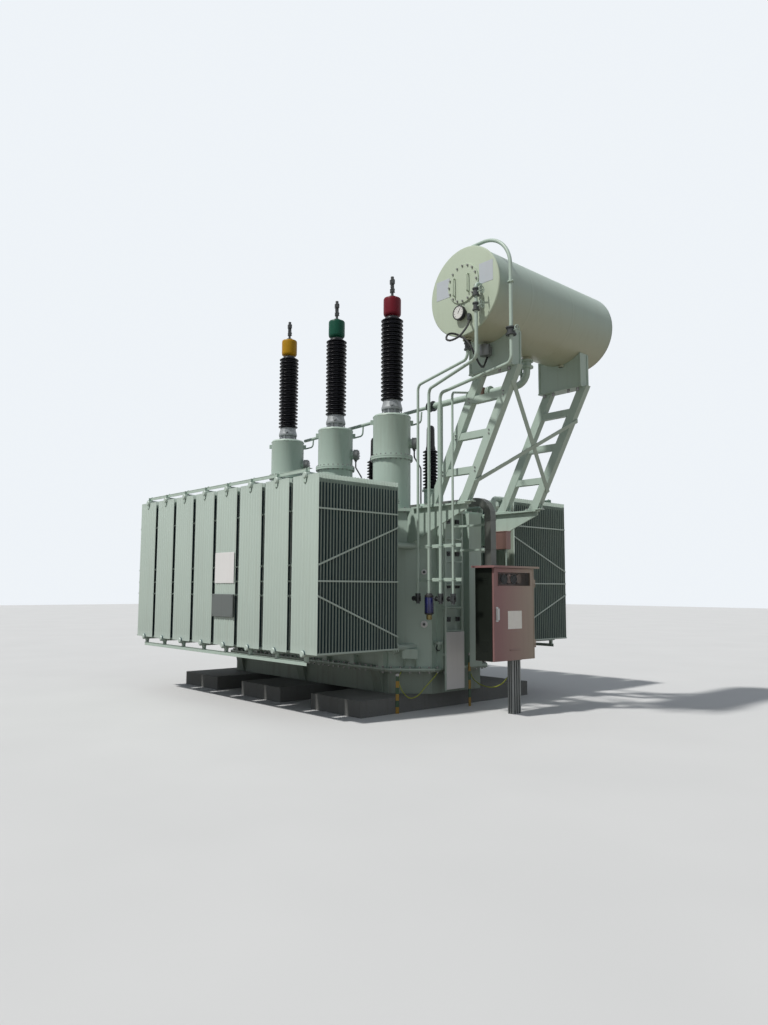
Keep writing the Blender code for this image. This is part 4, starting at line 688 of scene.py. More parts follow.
def conservator():
    """The drum with its seams, nozzles and lugs, and its bolted end with hatch, level dial and patches."""
    drum = Shape()
    profile = []
    for step in range(13):
        angle = step / 12 * math.pi / 2
        profile.append((
            max(DRUM_RADIUS * math.sin(angle), AXIS_HOLE), DRUM_HALF - 0.15 + 0.15 * math.cos(angle)))
    for seam in (1.06, 0.2, -0.62):
        profile += [(DRUM_RADIUS + rise, seam + shift) for rise, shift in (
            (0, 0.03), (0, 0.006), (0.0015, 0), (0, -0.006), (0, -0.03))]
    profile += [(DRUM_RADIUS, 0.02 - DRUM_HALF), (DRUM_RADIUS, -DRUM_HALF)]
    drum.lathe(profile, DRUM, 80, BACK)
    bottom = DRUM.z - DRUM_RADIUS - 0.03
    for x, y, radius in ((OIL_X, PIPE_Y, 0.075), (FILL_X, END_Y, 0.055), (3.6, 0.62, 0.04)):
        drum.pole(x, y, bottom, bottom + 0.1, radius * 0.75, 20)
        drum.pole(x, y, bottom, bottom + 0.018, radius, 20)
    top = DRUM.z + DRUM_RADIUS
    drum.pole(DRUM.x, END_Y, top - 0.02, top + 0.012, 0.062, 20)
    drum.pole(DRUM.x, END_Y, top, top + 0.03, 0.04, 20)
    for y in (-0.55, 0.75):
        drum.block(DRUM.x, y, top - 0.01, top + 0.05, 0.035, 0.006, 0.003)
    piece("drum_shell", drum, DRUM_PAINT_WITH_BOUNCE, "conservator_drum", angle=30)
    front = -DRUM_HALF - 0.0003
    end = Shape()
    end.lathe([
        (DRUM_RADIUS - 0.02, -0.02), (DRUM_RADIUS + 0.006, -0.016), (DRUM_RADIUS + 0.014, -0.008),
        (DRUM_RADIUS + 0.014, 0)], (DRUM.x, front, DRUM.z), 80, BACK)
    hatch_z = DRUM.z + 0.09
    end.lathe([
        (0.19, -0.038), (0.232, -0.036), (0.235, -0.032), (0.235, -0.018)],
        (DRUM.x, front, hatch_z), 64, BACK)
    for x in (DRUM.x - 0.119, DRUM.x + 0.096):
        handle = [(x, front - out, hatch_z + rise) for out, rise in (
            (0.034, -0.125), (0.072, -0.125), (0.072, 0.085), (0.034, 0.085))]
        end.tube(rounded(handle, (0.018, 0.018)), 0.009, 10)
    piece("drum_end", end, DRUM_END_SUNLIT_PAINT, "conservator_end", angle=30)
    patches = Shape()
    for left, right, low, high in ((3.133, 3.347, 5.005, 5.238), (3.808, 4.012, 5.02, 5.262)):
        patches.box((left, front - 0.0225, low), (right, front - 0.0195, high), 0.001)
    piece("bare_patches", patches, PALE_PATCH)
    bolts = Shape()
    bolts.bolt_ring((DRUM.x, front - 0.036, hatch_z), FORWARD, 0.212, 16, 0.012, 0.016)
    piece("hatch_bolts", bolts, BOLT_STEEL)
    gauge = Shape()
    spot = Vector((3.538, front - 0.02, 4.748))
    gauge.lathe([
        (0.073, -0.062), (0.078, -0.068), (0.085, -0.066), (0.088, -0.05), (0.084, -0.02), (0.06, 0.0)],
        spot, 40, BACK)
    piece("oil_gauge", gauge, BLACK_RUBBER)
    face = Shape()
    face.lathe([(0.071, -0.0635), (0.071, -0.0615)], spot, 40, BACK)
    piece("oil_gauge_face", face, DIAL_FACE)
    marks = Shape()
    for index in range(9):
        turn = turned(spot + Vector((0, -0.0645, 0)), math.radians(-130 + index * 32.5), "Y")
        marks.box((-0.002, 0, 0.052), (0.002, 0.001, 0.066), turn=turn)
    turn = turned(spot + Vector((0, -0.0655, 0)), math.radians(35), "Y")
    marks.box((-0.003, 0, -0.012), (0.003, 0.0015, 0.056), turn=turn)
    piece("oil_gauge_marks", marks, BLACK_RUBBER)


def leg_x(z):
    return 2.535 + 0.526 * (z - COVER_TOP)


def frame_bolts():
    """The frames' bolts, foot plates and gussets, and the rims of the drum's saddles."""
    bolts = Shape()
    plates = Shape()
    rims = Shape()
    for side in (-1, 1):
        y = side * FRAME_Y
        for offset in (0, LEG_SPREAD):
            foot = leg_x(COVER_TOP) + offset
            for dx in (-0.105, 0.105):
                for dy in (-0.036, 0.036):
                    bolts.bolt((foot + dx, y + dy, COVER_TOP + 0.014), UP, 0.012, 0.014)
            plates.block(foot, y, COVER_TOP + 0.0005, COVER_TOP + 0.013, 0.13, 0.052, 0.002)
            for way in (-1, 1):
                gusset = [(foot + way * 0.06, COVER_TOP + 0.012), (foot + way * 0.12, COVER_TOP + 0.012),
                          (foot + way * 0.075 + 0.06, COVER_TOP + 0.16)]
                plates.rings([[(px, y + dy, pz) for px, pz in gusset] for dy in (-0.005, 0.005)])
        for index in range(3):
            z = COVER_TOP + (index + 0.9) * (SADDLE_Z - COVER_TOP) / 3.6
            for offset in (0, LEG_SPREAD):
                for dz in (-0.022, 0.022):
                    bolts.bolt((leg_x(z) + offset, y + side * 0.045, z + dz), (0, side, 0), 0.01, 0.012)
        for dx in (-0.26, -0.12, 0.12, 0.26):
            bolts.bolt((DRUM.x + dx, y - 0.055, SADDLE_Z - 0.002), DOWN, 0.018, 0.045)
        for dx in (-0.32, 0.32):
            for dy in (-0.08, 0.08):
                rims.block(DRUM.x + dx, y + dy, SADDLE_Z, 4.6, 0.012, 0.012, 0.002)
        rims.block(DRUM.x, y, SADDLE_Z - 0.005, SADDLE_Z + 0.013, 0.34, 0.095, 0.003)
    piece("frame_bolts", bolts, BOLT_STEEL)
    piece("frame_gussets", plates, PAINT)
    piece("saddle_rims", rims, PAINT)


# Pipes

def valve(shape, place, axis, radius):
    """A small valve: a body between two flanges."""
    place = Vector(place)
    axis = Vector(axis)
    for start, end, size in ((-0.045, -0.03, 1.9), (0.03, 0.045, 1.9), (-0.035, 0.035, 1.45)):
        shape.rod(place + axis * start, place + axis * end, radius * size)


def pipes():
    """The oil pipe with its relay, the gas pipe, the row of four thin pipes, and their valves."""
    y = ROW_Y
    front = -DRUM_HALF - 0.0206
    oil = Shape()
    oil.tube(rounded([
        (1.86, PIPE_Y, PIPE_Z), (OIL_X, PIPE_Y, PIPE_Z), (OIL_X, PIPE_Y, NOZZLE_Z)], (0.16,), 12), 0.045, 20)
    oil.pole(1.95, PIPE_Y, COVER_TOP + 0.002, PIPE_Z, 0.04, 20)
    oil.pole(1.95, PIPE_Y, COVER_TOP + 0.001, COVER_TOP + 0.03, 0.088, 24)
    for x in (2.515, 2.545, 2.855, 2.885):
        oil.bar(x - 0.009, x + 0.009, PIPE_Y, PIPE_Z, 0.083, 24)
    for low, high, radius in ((0.022, 0, 0.085), (0.1, 0.078, 0.085), (0.08, 0.02, 0.06)):
        oil.pole(OIL_X, PIPE_Y, NOZZLE_Z - low, NOZZLE_Z - high, radius, 24)
    oil.rod((OIL_X, PIPE_Y, NOZZLE_Z - 0.05), (OIL_X - 0.12, PIPE_Y - 0.04, NOZZLE_Z - 0.05), 0.01, 10)
    oil.box((OIL_X - 0.2, PIPE_Y - 0.055, NOZZLE_Z - 0.062),
            (OIL_X - 0.1, PIPE_Y - 0.03, NOZZLE_Z - 0.038), 0.004)
    oil.pole(BLEED_X, PIPE_Y, 4.3, NOZZLE_Z, 0.018, 14)
    oil.pole(BLEED_X, PIPE_Y, 4.3, 4.316, 0.036, 18)
    oil.pole(BLEED_X, PIPE_Y, NOZZLE_Z - 0.02, NOZZLE_Z, 0.044, 18)
    oil.tube([(BLEED_X, PIPE_Y, 4.302), (BLEED_X, PIPE_Y, PIPE_Z)], 0.014, 12)
    piece("oil_pipe_run", oil, PAINT, "main_oil_pipe")
    relay = Shape()
    relay.box((2.585, PIPE_Y - 0.075, PIPE_Z - 0.075), (2.815, PIPE_Y + 0.075, PIPE_Z + 0.065), 0.012)
    relay.box((2.6, PIPE_Y - 0.08, PIPE_Z + 0.06), (2.8, PIPE_Y + 0.08, PIPE_Z + 0.078), 0.004)
    relay.pole(2.66, PIPE_Y, PIPE_Z + 0.078, PIPE_Z + 0.1, 0.022, 16)
    piece("relay_body", relay, RUST)
    panes = Shape()
    for side in (-0.078, 0.078):
        panes.block(2.7, PIPE_Y + side, PIPE_Z - 0.04, PIPE_Z + 0.035, 0.06, 0.004, 0.003)
    piece("relay_panes", panes, DIAL_FACE)
    gas = Shape()
    gas.tube([(-1.3, PIPE_Y, 4.1), (1.857, PIPE_Y, PIPE_Z)], 0.026, 16)
    for x in (-0.62, 0.7, 1.72):
        z = 4.1 + (x + 1.3) / 3.157 * 0.07
        gas.bar(x - 0.02, x + 0.02, PIPE_Y, z, 0.05, 20)
    piece("gas_pipe_run", gas, PAINT, "gas_pipe")
    rack = Shape()
    rack.tube(rounded([
        (2.36, y, 1.5), (2.36, y, 4.21), (FILL_X, END_Y, 4.25), (FILL_X, END_Y, NOZZLE_Z)],
        (0.08, 0.08)), 0.018, 14)
    for z in (1.67, 2.09):
        rack.box((2.342, y + 0.0263, z - 0.022), (3.08, y + 0.0463, z + 0.022), 0.002)
        for x, radius in PIPE_ROW:
            half = radius + 0.006
            hoop = [(x - half, y + 0.027, z), (x - half, y - half, z), (x + half, y - half, z),
                    (x + half, y + 0.027, z)]
            rack.tube(rounded(hoop, (radius, radius), 4), 0.004, 6)
    piece("fill_pipe_run", rack, PAINT, "fill_pipe")
    upright = DRUM.x + 0.26
    clear = front - 0.08
    breather = Shape()
    breather.tube(rounded([
        (2.56, y, 1.5), (2.56, y, 4.12), (upright, clear, 4.14), (upright, clear, DRUM.z),
        (upright, front, DRUM.z)], (0.08, 0.08, 0.048)), 0.02, 14)
    piece("breather_pipe_run", breather, PAINT, "breather_pipe")
    vent = Shape()
    vent.tube(rounded([
        (2.76, y, 1.5), (2.76, y, 4.03), (VENT_X, END_Y, 4.07), (VENT_X, END_Y, 5.59),
        (DRUM.x, END_Y, 5.59), (DRUM.x, END_Y, 5.5583)], (0.08, 0.08, 0.4, 0.028), 16), 0.021, 18)
    vent.pole(VENT_X, END_Y, 4.985, 5.001, 0.036, 20)
    vent.bar(VENT_X + 0.02, VENT_X + 0.052, END_Y - 0.01, 4.993, 0.009, 10)
    piece("vent_pipe_run", vent, PAINT, "vent_pipe")
    sample = Shape()
    sample.tube(rounded([
        (2.97, y, 1.5), (2.97, y, 4.0), (2.75, -0.2953, 4.13), (2.75, -0.0453, 4.13)],
        (0.08, 0.08)), 0.015)
    piece("sampling_pipe_run", sample, PAINT, "sampling_pipe")
    valves = Shape()
    wheeled = ((VENT_X, END_Y, 4.42), (upright, clear, 4.905), (upright, clear, 4.735))
    for place, radius in zip(wheeled, (0.032, 0.022, 0.022)):
        valve(valves, place, UP, radius)
    valve(valves, (FILL_X, END_Y, 4.4), UP, 0.022)
    valve(valves, (1.78, PIPE_Y, 4.168), (1, 0, 0), 0.04)
    for x in (2.36, 2.76, 2.97):
        valves.pole(x, y, 1.5, 1.47, 0.034, 16)
        valves.block(x, y, 1.395, 1.47, 0.03, 0.03, 0.008)
        valves.bar(x - 0.075, x + 0.03, y, 1.435, 0.014, 12)
        valves.bar(x - 0.085, x - 0.07, y, 1.435, 0.032, 16)
        valves.pole(x, y, 1.395, 1.37, 0.024, 12)
    piece("pipe_valves", valves, DARK_CAST)
    wheels = Shape()
    for place in wheeled:
        hub = Vector(place) + Vector((0.1, -0.02, 0))
        wheels.rod(place, hub, 0.007, 10)
        ring = circle(hub, Vector(BACK), Vector(UP), 0.042, 20)
        wheels.tube(ring + ring[:1], 0.005, 8)
        for spoke in (Vector((0, 0.042, 0)), Vector((0, 0, 0.042))):
            wheels.rod(hub - spoke, hub + spoke, 0.004, 8)
    piece("valve_wheels", wheels, PAINT)


def drying_breather():
    """The glass of drying agent under its pipe, with its caps, tie rods and oil cup."""
    x = 2.56
    top = 1.4997
    place = (x, ROW_Y, top)
    gel = Shape()
    gel.lathe([(0.05, -0.046), (0.055, -0.054), (0.055, -0.238), (0.05, -0.246)], place, 32)
    piece("breather_gel", gel, BLUE_GEL, "breather")
    cap = Shape()
    cap.lathe([(0.034, 0), (0.038, -0.012), (0.056, -0.026), (0.058, -0.034), (0.058, -0.047)], place, 32)
    cap.lathe([(0.058, -0.245), (0.058, -0.256), (0.04, -0.266)], place, 32)
    for angle in (0.6, 2.2, 3.8, 5.4):
        dx = 0.0565 * math.cos(angle)
        dy = 0.0565 * math.sin(angle)
        cap.pole(x + dx, ROW_Y + dy, top - 0.25, top - 0.04, 0.0025, 6)
    piece("breather_caps", cap, BLACK_RUBBER)
    cup = Shape()
    cup.lathe([(0.033, -0.265), (0.036, -0.273), (0.036, -0.314), (0.029, -0.328), (AXIS_HOLE, -0.33)],
              place, 28)
    piece("breather_cup", cup, BRASS)


# Tank dressing

def tank_path(reach, spacing):
    """Evenly spaced spots around the tank's plan, grown outwards by a reach."""
    half_x = 2.275 + reach
    half_y = 0.875 + reach
    cut = 0.4 + reach * (2 - math.sqrt(2))
    corners = [
        (half_x, half_y - cut), (half_x - cut, half_y), (cut - half_x, half_y), (-half_x, half_y - cut),
        (-half_x, cut - half_y), (cut - half_x, -half_y), (half_x - cut, -half_y), (half_x, cut - half_y)]
    spots = []
    for start, end in zip(corners, corners[1:] + corners[:1]):
        start = Vector((*start, 0))
        end = Vector((*end, 0))
        count = max(int((end - start).length / spacing), 1)
        spots += [start.lerp(end, (step + 0.5) / count) for step in range(count)]
    return spots


def tank():
    """The bolts of the flange and the cover, the drain, taps, lugs and the cover's blank plates."""
    bolts = Shape()
    for reach, spacing, high, low, radius, length in (
            (0.068, 0.115, 0.5326, 0.4883, 0.015, 0.02), (0.026, 0.125, COVER_TOP, 2.5798, 0.012, 0.014)):
        for spot in tank_path(reach, spacing):
            bolts.bolt((spot.x, spot.y, high), UP, radius, length)
            bolts.bolt((spot.x, spot.y, low), DOWN, radius, length)
    piece("tank_bolts", bolts, BOLT_STEEL)
    drain = Shape()
    x, y = DRAIN
    drain.tube(rounded([(2.27, y, 0.785), (x, y, 0.785), (x, y, 0.85)], (0.035,)), 0.03, 16)
    drain.bar(2.275, 2.29, y, 0.785, 0.06, 24)
    drain.pole(x, y, 0.84, 0.856, 0.068, 24)
    drain.pole(x, y, 0.859, 0.875, 0.068, 24)
    for angle in range(0, 360, 60):
        dx = 0.054 * math.cos(math.radians(angle))
        dy = 0.054 * math.sin(math.radians(angle))
        drain.pole(x + dx, y + dy, 0.8, 0.888, 0.008, 6)
    stems = Shape()
    stems.bar(2.312, 2.33, y, 0.785, 0.038, 20)
    stems.pole(x, y, 0.856, 0.859, 0.06, 20)
    out = Vector((1, -1, 0)).normalized()
    taps = Shape()
    for z, size in TAPS:
        centre = Vector((2.75 + TAP_Y, TAP_Y, z))
        taps.rod(centre - out * 0.005, centre + out * 0.02, size, 20)
        taps.rod(centre + out * 0.02, centre + out * 0.055, size * 0.45, 12)
        stems.rod(centre + out * 0.05, centre + out * 0.075, 0.019, 10)
    for x_side in (-1, 1):
        for y_side in (-1, 1):
            way = Vector((x_side, y_side, 0)).normalized()
            beside = Vector((-way.y, way.x, 0))
            centre = Vector((x_side * 2.075, y_side * 0.675, 0))
            for shift in (-0.075, 0.075):
                ear = [centre + beside * shift + way * out_by + Vector((0, 0, z)) for out_by, z in (
                    (0, 0.535), (0.13, 0.65), (0.13, 0.782), (0, 0.782))]
                drain.rings([[p + beside * t for p in ear] for t in (-0.008, 0.008)])
    drain.rings([[(x, y, z) for x, y in ((2.275, -0.18), (2.275, 0.02), (2.282, 0.02), (2.282, -0.18))]
                 for z in (2.06, 2.14)])
    piece("tank_fittings", drain, PAINT)
    piece("tap_flanges", taps, WHITE_PLATE)
    piece("fitting_stems", stems, DARK_CAST)
    cover = Shape()
    for x, y in ((-1.95, 0.1), (-0.66, 0.18), (0.66, 0.18), (1.55, -0.66)):
        cover.lathe([(0.105, 0.03), (0.108, 0.026), (0.108, 0.001)], (x, y, COVER_TOP), 40)
        cover.bolt_ring((x, y, COVER_TOP + 0.03), UP, 0.088, 10, 0.01, 0.012)
    for x in (-2.05, 2.05):
        for y in (-0.42, 0.42):
            cover.block(x, y, COVER_TOP - 0.001, COVER_TOP + 0.085, 0.045, 0.008, 0.004)
    piece("cover_fittings", cover, PAINT)


def ladder():
    """The ladder with its stays, the bare sign on its foot and the clamps beside it."""
    steps = Shape()
    left = -0.257 - 0.16
    right = -0.257 + 0.16
    x = 2.47
    for y in (left, right):
        steps.tube([(x, y, 0.26), (x, y, 2.6)], 0.0155, 14)
    for index in range(7):
        z = FIRST_RUNG + index * RUNG_PITCH
        steps.rod((x, left, z), (x, right, z), 0.011, 12)
        if index in (1, 3, 6):
            for y in (left + 0.03, right - 0.03):
                steps.box((2.396, y - 0.018, z - 0.018), (x + 0.006, y + 0.018, z + 0.018), 0.003)
    piece("ladder_steel", steps, PAINT, "ladder")
    sign = Shape()
    sign.box((x + 0.018, -0.425, 0.27), (x + 0.024, -0.085, 1.0), 0.002)
    piece("ladder_sign", sign, WHITE_PLATE)
    clamps = Shape()
    for z in (1.16, 1.595, 2.02, 2.45):
        for y in (-0.305, -0.13):
            clamps.box((2.397, y - 0.028, z - 0.03), (2.436, y + 0.028, z + 0.03), 0.005)
            clamps.bar(2.434, 2.448, y, z, 0.012, 8)
    piece("ladder_cable_clamps", clamps, DARK_CAST)


# Cabinet

def border(shape, x, y0, y1, z0, z1, width):
    """Four flat strips inside the edges of an upright rectangle."""
    for low, high in (
            ((y0, z0), (y0 + width, z1)), ((y1 - width, z0), (y1, z1)),
            ((y0 + width, z1 - width), (y1 - width, z1)), ((y0 + width, z0), (y1 - width, z0 + width))):
        shape.box((x, *low), (x + 0.003, *high))


def cabinet():
    """The cabinet's near-black side sheets and louvres (painted dark reflection), its door's trim, handle and
    bare label, and the dials inside.
    """
    # The body and door take the steel whose colour fade is painted reflection.
    coat(STAINLESS, "cabinet_body", "cabinet_door")
    coat(WINDOW, "door_window")
    coat(DUCT_STEEL, "cable_duct")
    face = 3.31
    trim = Shape()
    border(trim, face, -0.453, 0.338, 0.682, 1.814, 0.016)
    (_, y0, z0), (_, y1, z1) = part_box("door_window")
    border(trim, face, y0 - 0.012, y1 + 0.012, z0 - 0.012, z1 + 0.012, 0.012)
    trim.box((face, -0.155, 0.8), (face + 0.01, 0.05, 0.812), 0.003)
    piece("door_trim", trim, STAINLESS, body=DOOR)
    handle = Shape()
    handle.box((face, -0.416, 1.16), (face + 0.006, -0.374, 1.34), 0.003)
    handle.box((face + 0.003, -0.4115, 1.1775), (face + 0.0315, -0.3785, 1.3225), 0.005)
    piece("door_handle", handle, CASTING, body=DOOR)
    # The label's extra brightness is painted light.
    label = Shape()
    label.box((face, -0.188, 1.066), (face + 0.002, 0.084, 1.288), 0.0006)
    piece("door_label", label, BRIGHTENED_CABINET_WHITE, body=DOOR)
    # Painted reflection: thin near-black sheets over the cabinet's sides and back, with the side louvres,
    # stand for the dark surroundings mirrored in the polished steel.
    sides = Shape()
    for y in (-0.4565, 0.3455):
        sides.box((3.016, y - 0.0008, 0.683), (3.284, y + 0.0008, 1.817))
    sides.box((3.0135, -0.453, 0.683), (3.015, 0.343, 1.817))
    for z in (0.8, 1.62):
        for row in range(6):
            sides.box((3.08, -0.46, z + row * 0.022), (3.22, -0.457, z + row * 0.022 + 0.01), 0.001)
    piece("cabinet_side_reflection_sheets", sides, DARK_REFLECTION_STEEL)
    dials = Shape()
    rims = Shape()
    marks = Shape()
    z = (z0 + z1) / 2
    for y in (-0.15, 0.035):
        dials.bar(DIAL_SHELF_X, DIAL_SHELF_X + 0.002, y, z, 0.052, 32)
        rims.lathe([
            (0.052, 0.0), (0.06, 0.0), (0.062, 0.006), (0.06, 0.01), (0.053, 0.01), (0.052, 0.006)],
            (DIAL_SHELF_X, y, z), 32, (1, 0, 0), closed=False)
        for index in range(9):
            turn = turned((DIAL_SHELF_X + 0.002, y, z), math.radians(-120 + index * 30), "X")
            marks.box((0, -0.0015, 0.036), (0.0008, 0.0015, 0.047), turn=turn)
        turn = turned((DIAL_SHELF_X + 0.0025, y, z), math.radians(-40), "X")
        marks.box((0, -0.002, -0.008), (0.001, 0.002, 0.04), turn=turn)
    # The dial faces' extra brightness is painted light.
    piece("dial_faces", dials, BRIGHTENED_CABINET_WHITE)
    piece("dial_rims", rims, BLACK_RUBBER)
    piece("dial_marks", marks, BLACK_RUBBER)


def post():
    """The grooved post under the cabinet: strips on all four sides of a near-black core that is painted shade
    in the grooves, and a head plate.
    """
    x, y = POST
    high = 0.6795
    shape = Shape()
    for shift in (-0.0655, -0.022, 0.022, 0.0655):
        shape.block(x, y + shift, 0, high, 0.045, 0.0095, 0.003)
    for dx in (-0.032, 0, 0.032):
        for side in (-0.072, 0.072):
            shape.block(x + dx, y + side, 0, high, 0.0085, 0.012, 0.003)
    shape.block(x, y, 0.662, high, 0.055, 0.09, 0.003)
    piece("post_channels", shape, GALVANISED, "cabinet_post")
    # Painted shade: the core between the strips is near black, standing for the shade in the post's grooves.
    core = Shape()
    core.block(x, y, 0, high - 0.01, 0.025, 0.076)
    piece("post_groove_shade_core", core, DARK_CAST)


def duct_details():
    """The duct's joints and stays, and the junction box behind the cabinet with its conduit."""
    joints = Shape()
    for z in (2.05, 2.42):
        joints.box((3.055, -0.325, z), (3.165, -0.215, z + 0.012), 0.001)
    for x in (2.2, 2.75):
        joints.box((x, -0.325, COVER_TOP + 0.0003), (x + 0.012, -0.215, COVER_TOP + 0.106), 0.001)
    joints.box((3.045, -0.335, 1.8453), (3.175, -0.205, 1.856), 0.001)
    piece("duct_joints", joints, DUCT_STEEL)
    stubs = Shape()
    for z in (2.38, 2.06):
        stubs.box((2.396, -0.2, z - 0.014), (3.058, -0.17, z + 0.014), 0.002)
        stubs.box((3.045, -0.225, z - 0.014), (3.062, -0.165, z + 0.014), 0.002)
    piece("duct_stays", stubs, PAINT)
    box = Shape()
    box.box((2.415, 0.595, 2.105), (2.665, 0.695, 2.355), 0.006)
    box.box((2.41, 0.59, 2.343), (2.67, 0.7, 2.358), 0.003)
    for x in (2.44, 2.64):
        for z in (2.13, 2.32):
            box.bolt((x, 0.595, z), FORWARD, 0.008, 0.005)
    piece("junction_box_lid", box, BROWN_STEEL)
    drop = Shape()
    route = [(2.62, 0.645, 2.11), (2.62, 0.645, 1.86), (2.66, 0.6, 1.7), (2.66, 0.6, 1.52)]
    drop.tube(rounded(route, (0.06, 0.06)), 0.011, 10)
    drop.pole(2.62, 0.645, 2.07, 2.106, 0.018, 12)
    piece("junction_conduit", drop, PAINT)


def earthing():
    """Earthing flats in bands of yellow and green, and the two hanging earthing cables."""
    for number, (x, y, lug, rise) in enumerate((
            (2.215, -1.03, (2.075, -0.825), 0.08), (2.388, 0.132, (2.36, 0.132), 0.115))):
        turn = turned((x, y, 0), math.radians(-25 if number == 0 else 0), "Z")
        for kind, finish in (("yellow", EARTH_YELLOW), ("green", EARTH_GREEN)):
            bands = Shape()
            for index in range(6):
                if (index % 2 == 0) == (kind == "yellow"):
                    z = index * rise
                    bands.box((-0.003, -0.022, z), (0.003, 0.022, z + rise), turn=turn)
            piece(f"earth_flat_{number + 1}_{kind}", bands, finish)
        strap = Shape()
        strap.tube([(x, y, 0.482), (*lug, 0.49)], 0.007, 8)
        strap.box((-0.006, -0.024, rise * 6 - 0.02), (0.006, 0.024, rise * 6 + 0.012), 0.002, turn=turn)
        piece(f"earth_lug_{number + 1}", strap, BOLT_STEEL)
    hang("earth_cable", [
        (2.366, -0.47, 0.474), (2.362, -0.5, 0.44), (2.35, -0.564, 0.384), (2.325, -0.658, 0.297),
        (2.3, -0.729, 0.218), (2.27, -0.814, 0.178), (2.245, -0.887, 0.196), (2.225, -0.965, 0.285),
        (2.214, -1.005, 0.39), (2.205, -0.99, 0.462), (2.16, -0.925, 0.49), (2.08, -0.84, 0.492)],
        0.013, EARTH_CABLE, 3)
    hang("cabinet_earth_cable", [
        (2.287, 0.26, 0.44), (2.312, 0.262, 0.375), (2.37, 0.258, 0.325), (2.48, 0.24, 0.285),
        (2.62, 0.215, 0.27), (2.76, 0.18, 0.28), (2.89, 0.14, 0.32), (3.0, 0.1, 0.375),
        (3.085, 0.062, 0.44)], 0.013, EARTH_CABLE)


def hang(name, knots, diameter, finish, steps=4):
    """A free cord along a smooth curve through its knots, held at both ends."""
    knots = [Vector(knot) for knot in knots]
    padded = [knots[0] * 2 - knots[1]] + knots + [knots[-1] * 2 - knots[-2]]
    path = []
    for before, start, end, after in zip(padded, padded[1:], padded[2:], padded[3:]):
        for step in range(steps):
            t = step / steps
            path.append(0.5 * (
                2 * start + (end - before) * t + (2 * before - 5 * start + 4 * end - after) * t * t
                + (3 * start - before - 3 * end + after) * t * t * t))
    path.append(knots[-1])
    shape = Shape()
    shape.tube(path, diameter / 2, 12)
    made = piece(name, shape, finish)


def drum_hose():
    """The black hose from the valve under the drum's end to the grey case on the near saddle."""
    hang("drum_hose", [
        (3.672, -1.272, 4.64), (3.73, -1.363, 4.538), (3.756, -1.459, 4.44), (3.741, -1.508, 4.379),
        (3.692, -1.538, 4.346), (3.621, -1.546, 4.342), (3.55, -1.526, 4.38), (3.516, -1.48, 4.44),
        (3.511, -1.432, 4.475), (3.533, -1.374, 4.483), (3.576, -1.323, 4.457), (3.648, -1.304, 4.396),
        (3.714, -1.295, 4.31), (3.738, -1.255, 4.21), (3.725, -1.173, 4.137), (3.67, -1.049, 4.124),
        (3.604, -0.943, 4.173), (3.557, -0.857, 4.251), (3.545, -0.808, 4.325)],
        0.024, RUBBER_HOSE, 2)
    case = Shape()
    case.lathe([
        (0.05, 0.15), (0.062, 0.142), (0.066, 0.13), (0.066, 0.02), (0.062, 0.01), (0.02, 0.004)],
        (3.545, -0.85, 4.316), 32)
    case.box((3.5, -0.8, 4.34), (3.59, -0.778, 4.44), 0.003)
    piece("saddle_case", case, GREY_CAP)
    union = Shape()
    union.pole(3.672, -1.272, 4.625, 4.69, 0.019, 16)
    union.pole(3.672, -1.272, 4.64, 4.664, 0.026, 6)
    union.rod((3.672, -1.29, 4.69), (3.672, -1.262, 4.69), 0.024, 16)
    piece("hose_union", union, DARK_CAST)


# Solids that stay as they are

def solids():
    coat(WORN_AND_SHADE_PAINT, "tank_trough")
    coat(PAINT, "tank_bell", "tank_cover", "frame_near", "frame_far", "bracket_near", "bracket_far",
         "brace_down", "brace_up")
    coat(CONCRETE, "plinth_near", "plinth_middle", "plinth_far")


# Stage, light and camera

def seen_directly(tree):
    """1 for what the camera, a reflection or a look through glass sees, 0 for bounced light."""
    rays = node(tree, "ShaderNodeLightPath").outputs
    seen = rays["Is Camera Ray"]
    for other in ("Is Glossy Ray", "Is Transmission Ray"):
        both = node(tree, "ShaderNodeMath", {0: seen, 1: rays[other]}, operation="ADD", use_clamp=True)
        seen = both.outputs[0]
    return seen


def floor():
    """A pale floor that bounces light as gravel does, dark under the tank and lighter around it."""
    mesh = bpy.data.meshes.new("floor")
    corners = [(x * FLOOR_HALF, y * FLOOR_HALF, -0.0005) for x, y in ((-1, -1), (1, -1), (1, 1), (-1, 1))]
    mesh.from_pydata(corners, [], [(0, 1, 2, 3)])
    made = bpy.data.objects.new("floor", mesh)
    bpy.context.scene.collection.objects.link(made)
    surface = bpy.data.materials.new("pale_floor")
    surface.use_nodes = True
    tree = surface.node_tree
    shader = tree.nodes["Principled BSDF"]
    place = node(tree, "ShaderNodeTexCoord").outputs["Object"]
    mottle = noise(tree, place, 0.6, 2.0)
    away = node(tree, "ShaderNodeVectorMath", {0: place}, operation="LENGTH").outputs["Value"]
    ground = blend(tree, spread(tree, away, 3.2, 5.5), (0.08, 0.075, 0.065), (0.35, 0.315, 0.255))
    pale = blend(tree, mottle, (0.6, 0.61, 0.62), (0.66, 0.67, 0.68))
    tree.links.new(blend(tree, seen_directly(tree), ground, pale), shader.inputs["Base Color"])
    shader.inputs["Roughness"].default_value = 0.85
    mesh.materials.append(surface)


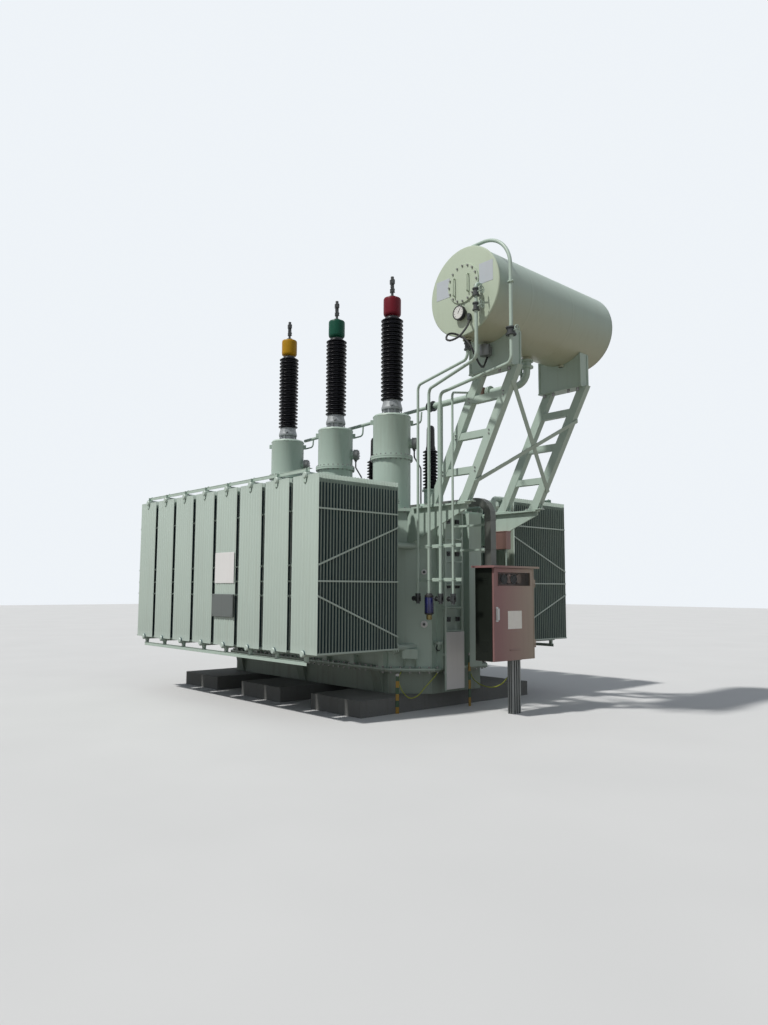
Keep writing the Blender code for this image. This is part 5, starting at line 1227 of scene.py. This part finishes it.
def light():
    """A pale sky, the sun from the front left and a weak fill from the right."""
    scene = bpy.context.scene
    world = bpy.data.worlds.new("studio")
    scene.world = world
    world.use_nodes = True
    tree = world.node_tree
    back = tree.nodes["Background"]
    back.inputs["Color"].default_value = (0.86, 0.92, 1.0, 1)
    back.inputs["Strength"].default_value = 0.28
    seen = node(tree, "ShaderNodeBackground", {"Color": (0.86, 0.9, 0.94, 1), "Strength": 1.0})
    mix = node(tree, "ShaderNodeMixShader", {
        "Fac": seen_directly(tree), 1: back.outputs[0], 2: seen.outputs[0]})
    tree.links.new(mix.outputs[0], tree.nodes["World Output"].inputs["Surface"])
    for name, aim, strength, spread_angle, tint in (
            ("key", (-0.2, -1.0, 1.35), 3.1, 3, (1.0, 0.97, 0.92)),
            ("fill", (1.0, -0.35, 0.55), 0.12, 60, (0.92, 0.96, 1.0))):
        lamp = bpy.data.lights.new(name, "SUN")
        lamp.energy = strength
        lamp.angle = math.radians(spread_angle)
        lamp.color = tint
        made = bpy.data.objects.new(name, lamp)
        made.rotation_euler = Vector(aim).to_track_quat("Z", "Y").to_euler()
        scene.collection.objects.link(made)
    scene.view_settings.view_transform = "Standard"


def camera():
    """The photograph's own view."""
    azimuth = math.radians(CAMERA_AZIMUTH)
    pitch = math.radians(CAMERA_PITCH)
    roll = math.radians(CAMERA_ROLL)
    right = Vector((math.cos(azimuth), math.sin(azimuth), 0))
    ahead = Vector((-right.y * math.cos(pitch), right.x * math.cos(pitch), math.sin(pitch)))
    up = right.cross(ahead)
    tilted = right * math.cos(roll) + up * math.sin(roll)
    upright = tilted.cross(ahead)
    data = bpy.data.cameras.new("photo_view")
    data.lens = LENS
    data.sensor_width = SENSOR_WIDTH
    data.sensor_fit = "AUTO"
    data.clip_end = 200
    made = bpy.data.objects.new("photo_view", data)
    turn = Matrix((tilted, upright, -ahead)).transposed().to_4x4()
    made.matrix_world = Matrix.Translation(CAMERA_PLACE) @ turn
    bpy.context.scene.collection.objects.link(made)
    bpy.context.scene.camera = made


camera()
light()
floor()
solids()
radiators()
ties()
bank_plates()
for phase, number, colour in (("a", -1, YELLOW), ("b", 0, GREEN), ("c", 1, RED)):
    turret(phase, number * PHASE_PITCH)
    bushing(phase, number * PHASE_PITCH, colour)
low_voltage()
conservator()
frame_bolts()
pipes()
drying_breather()
tank()
ladder()
cabinet()
post()
duct_details()
earthing()
drum_hose()
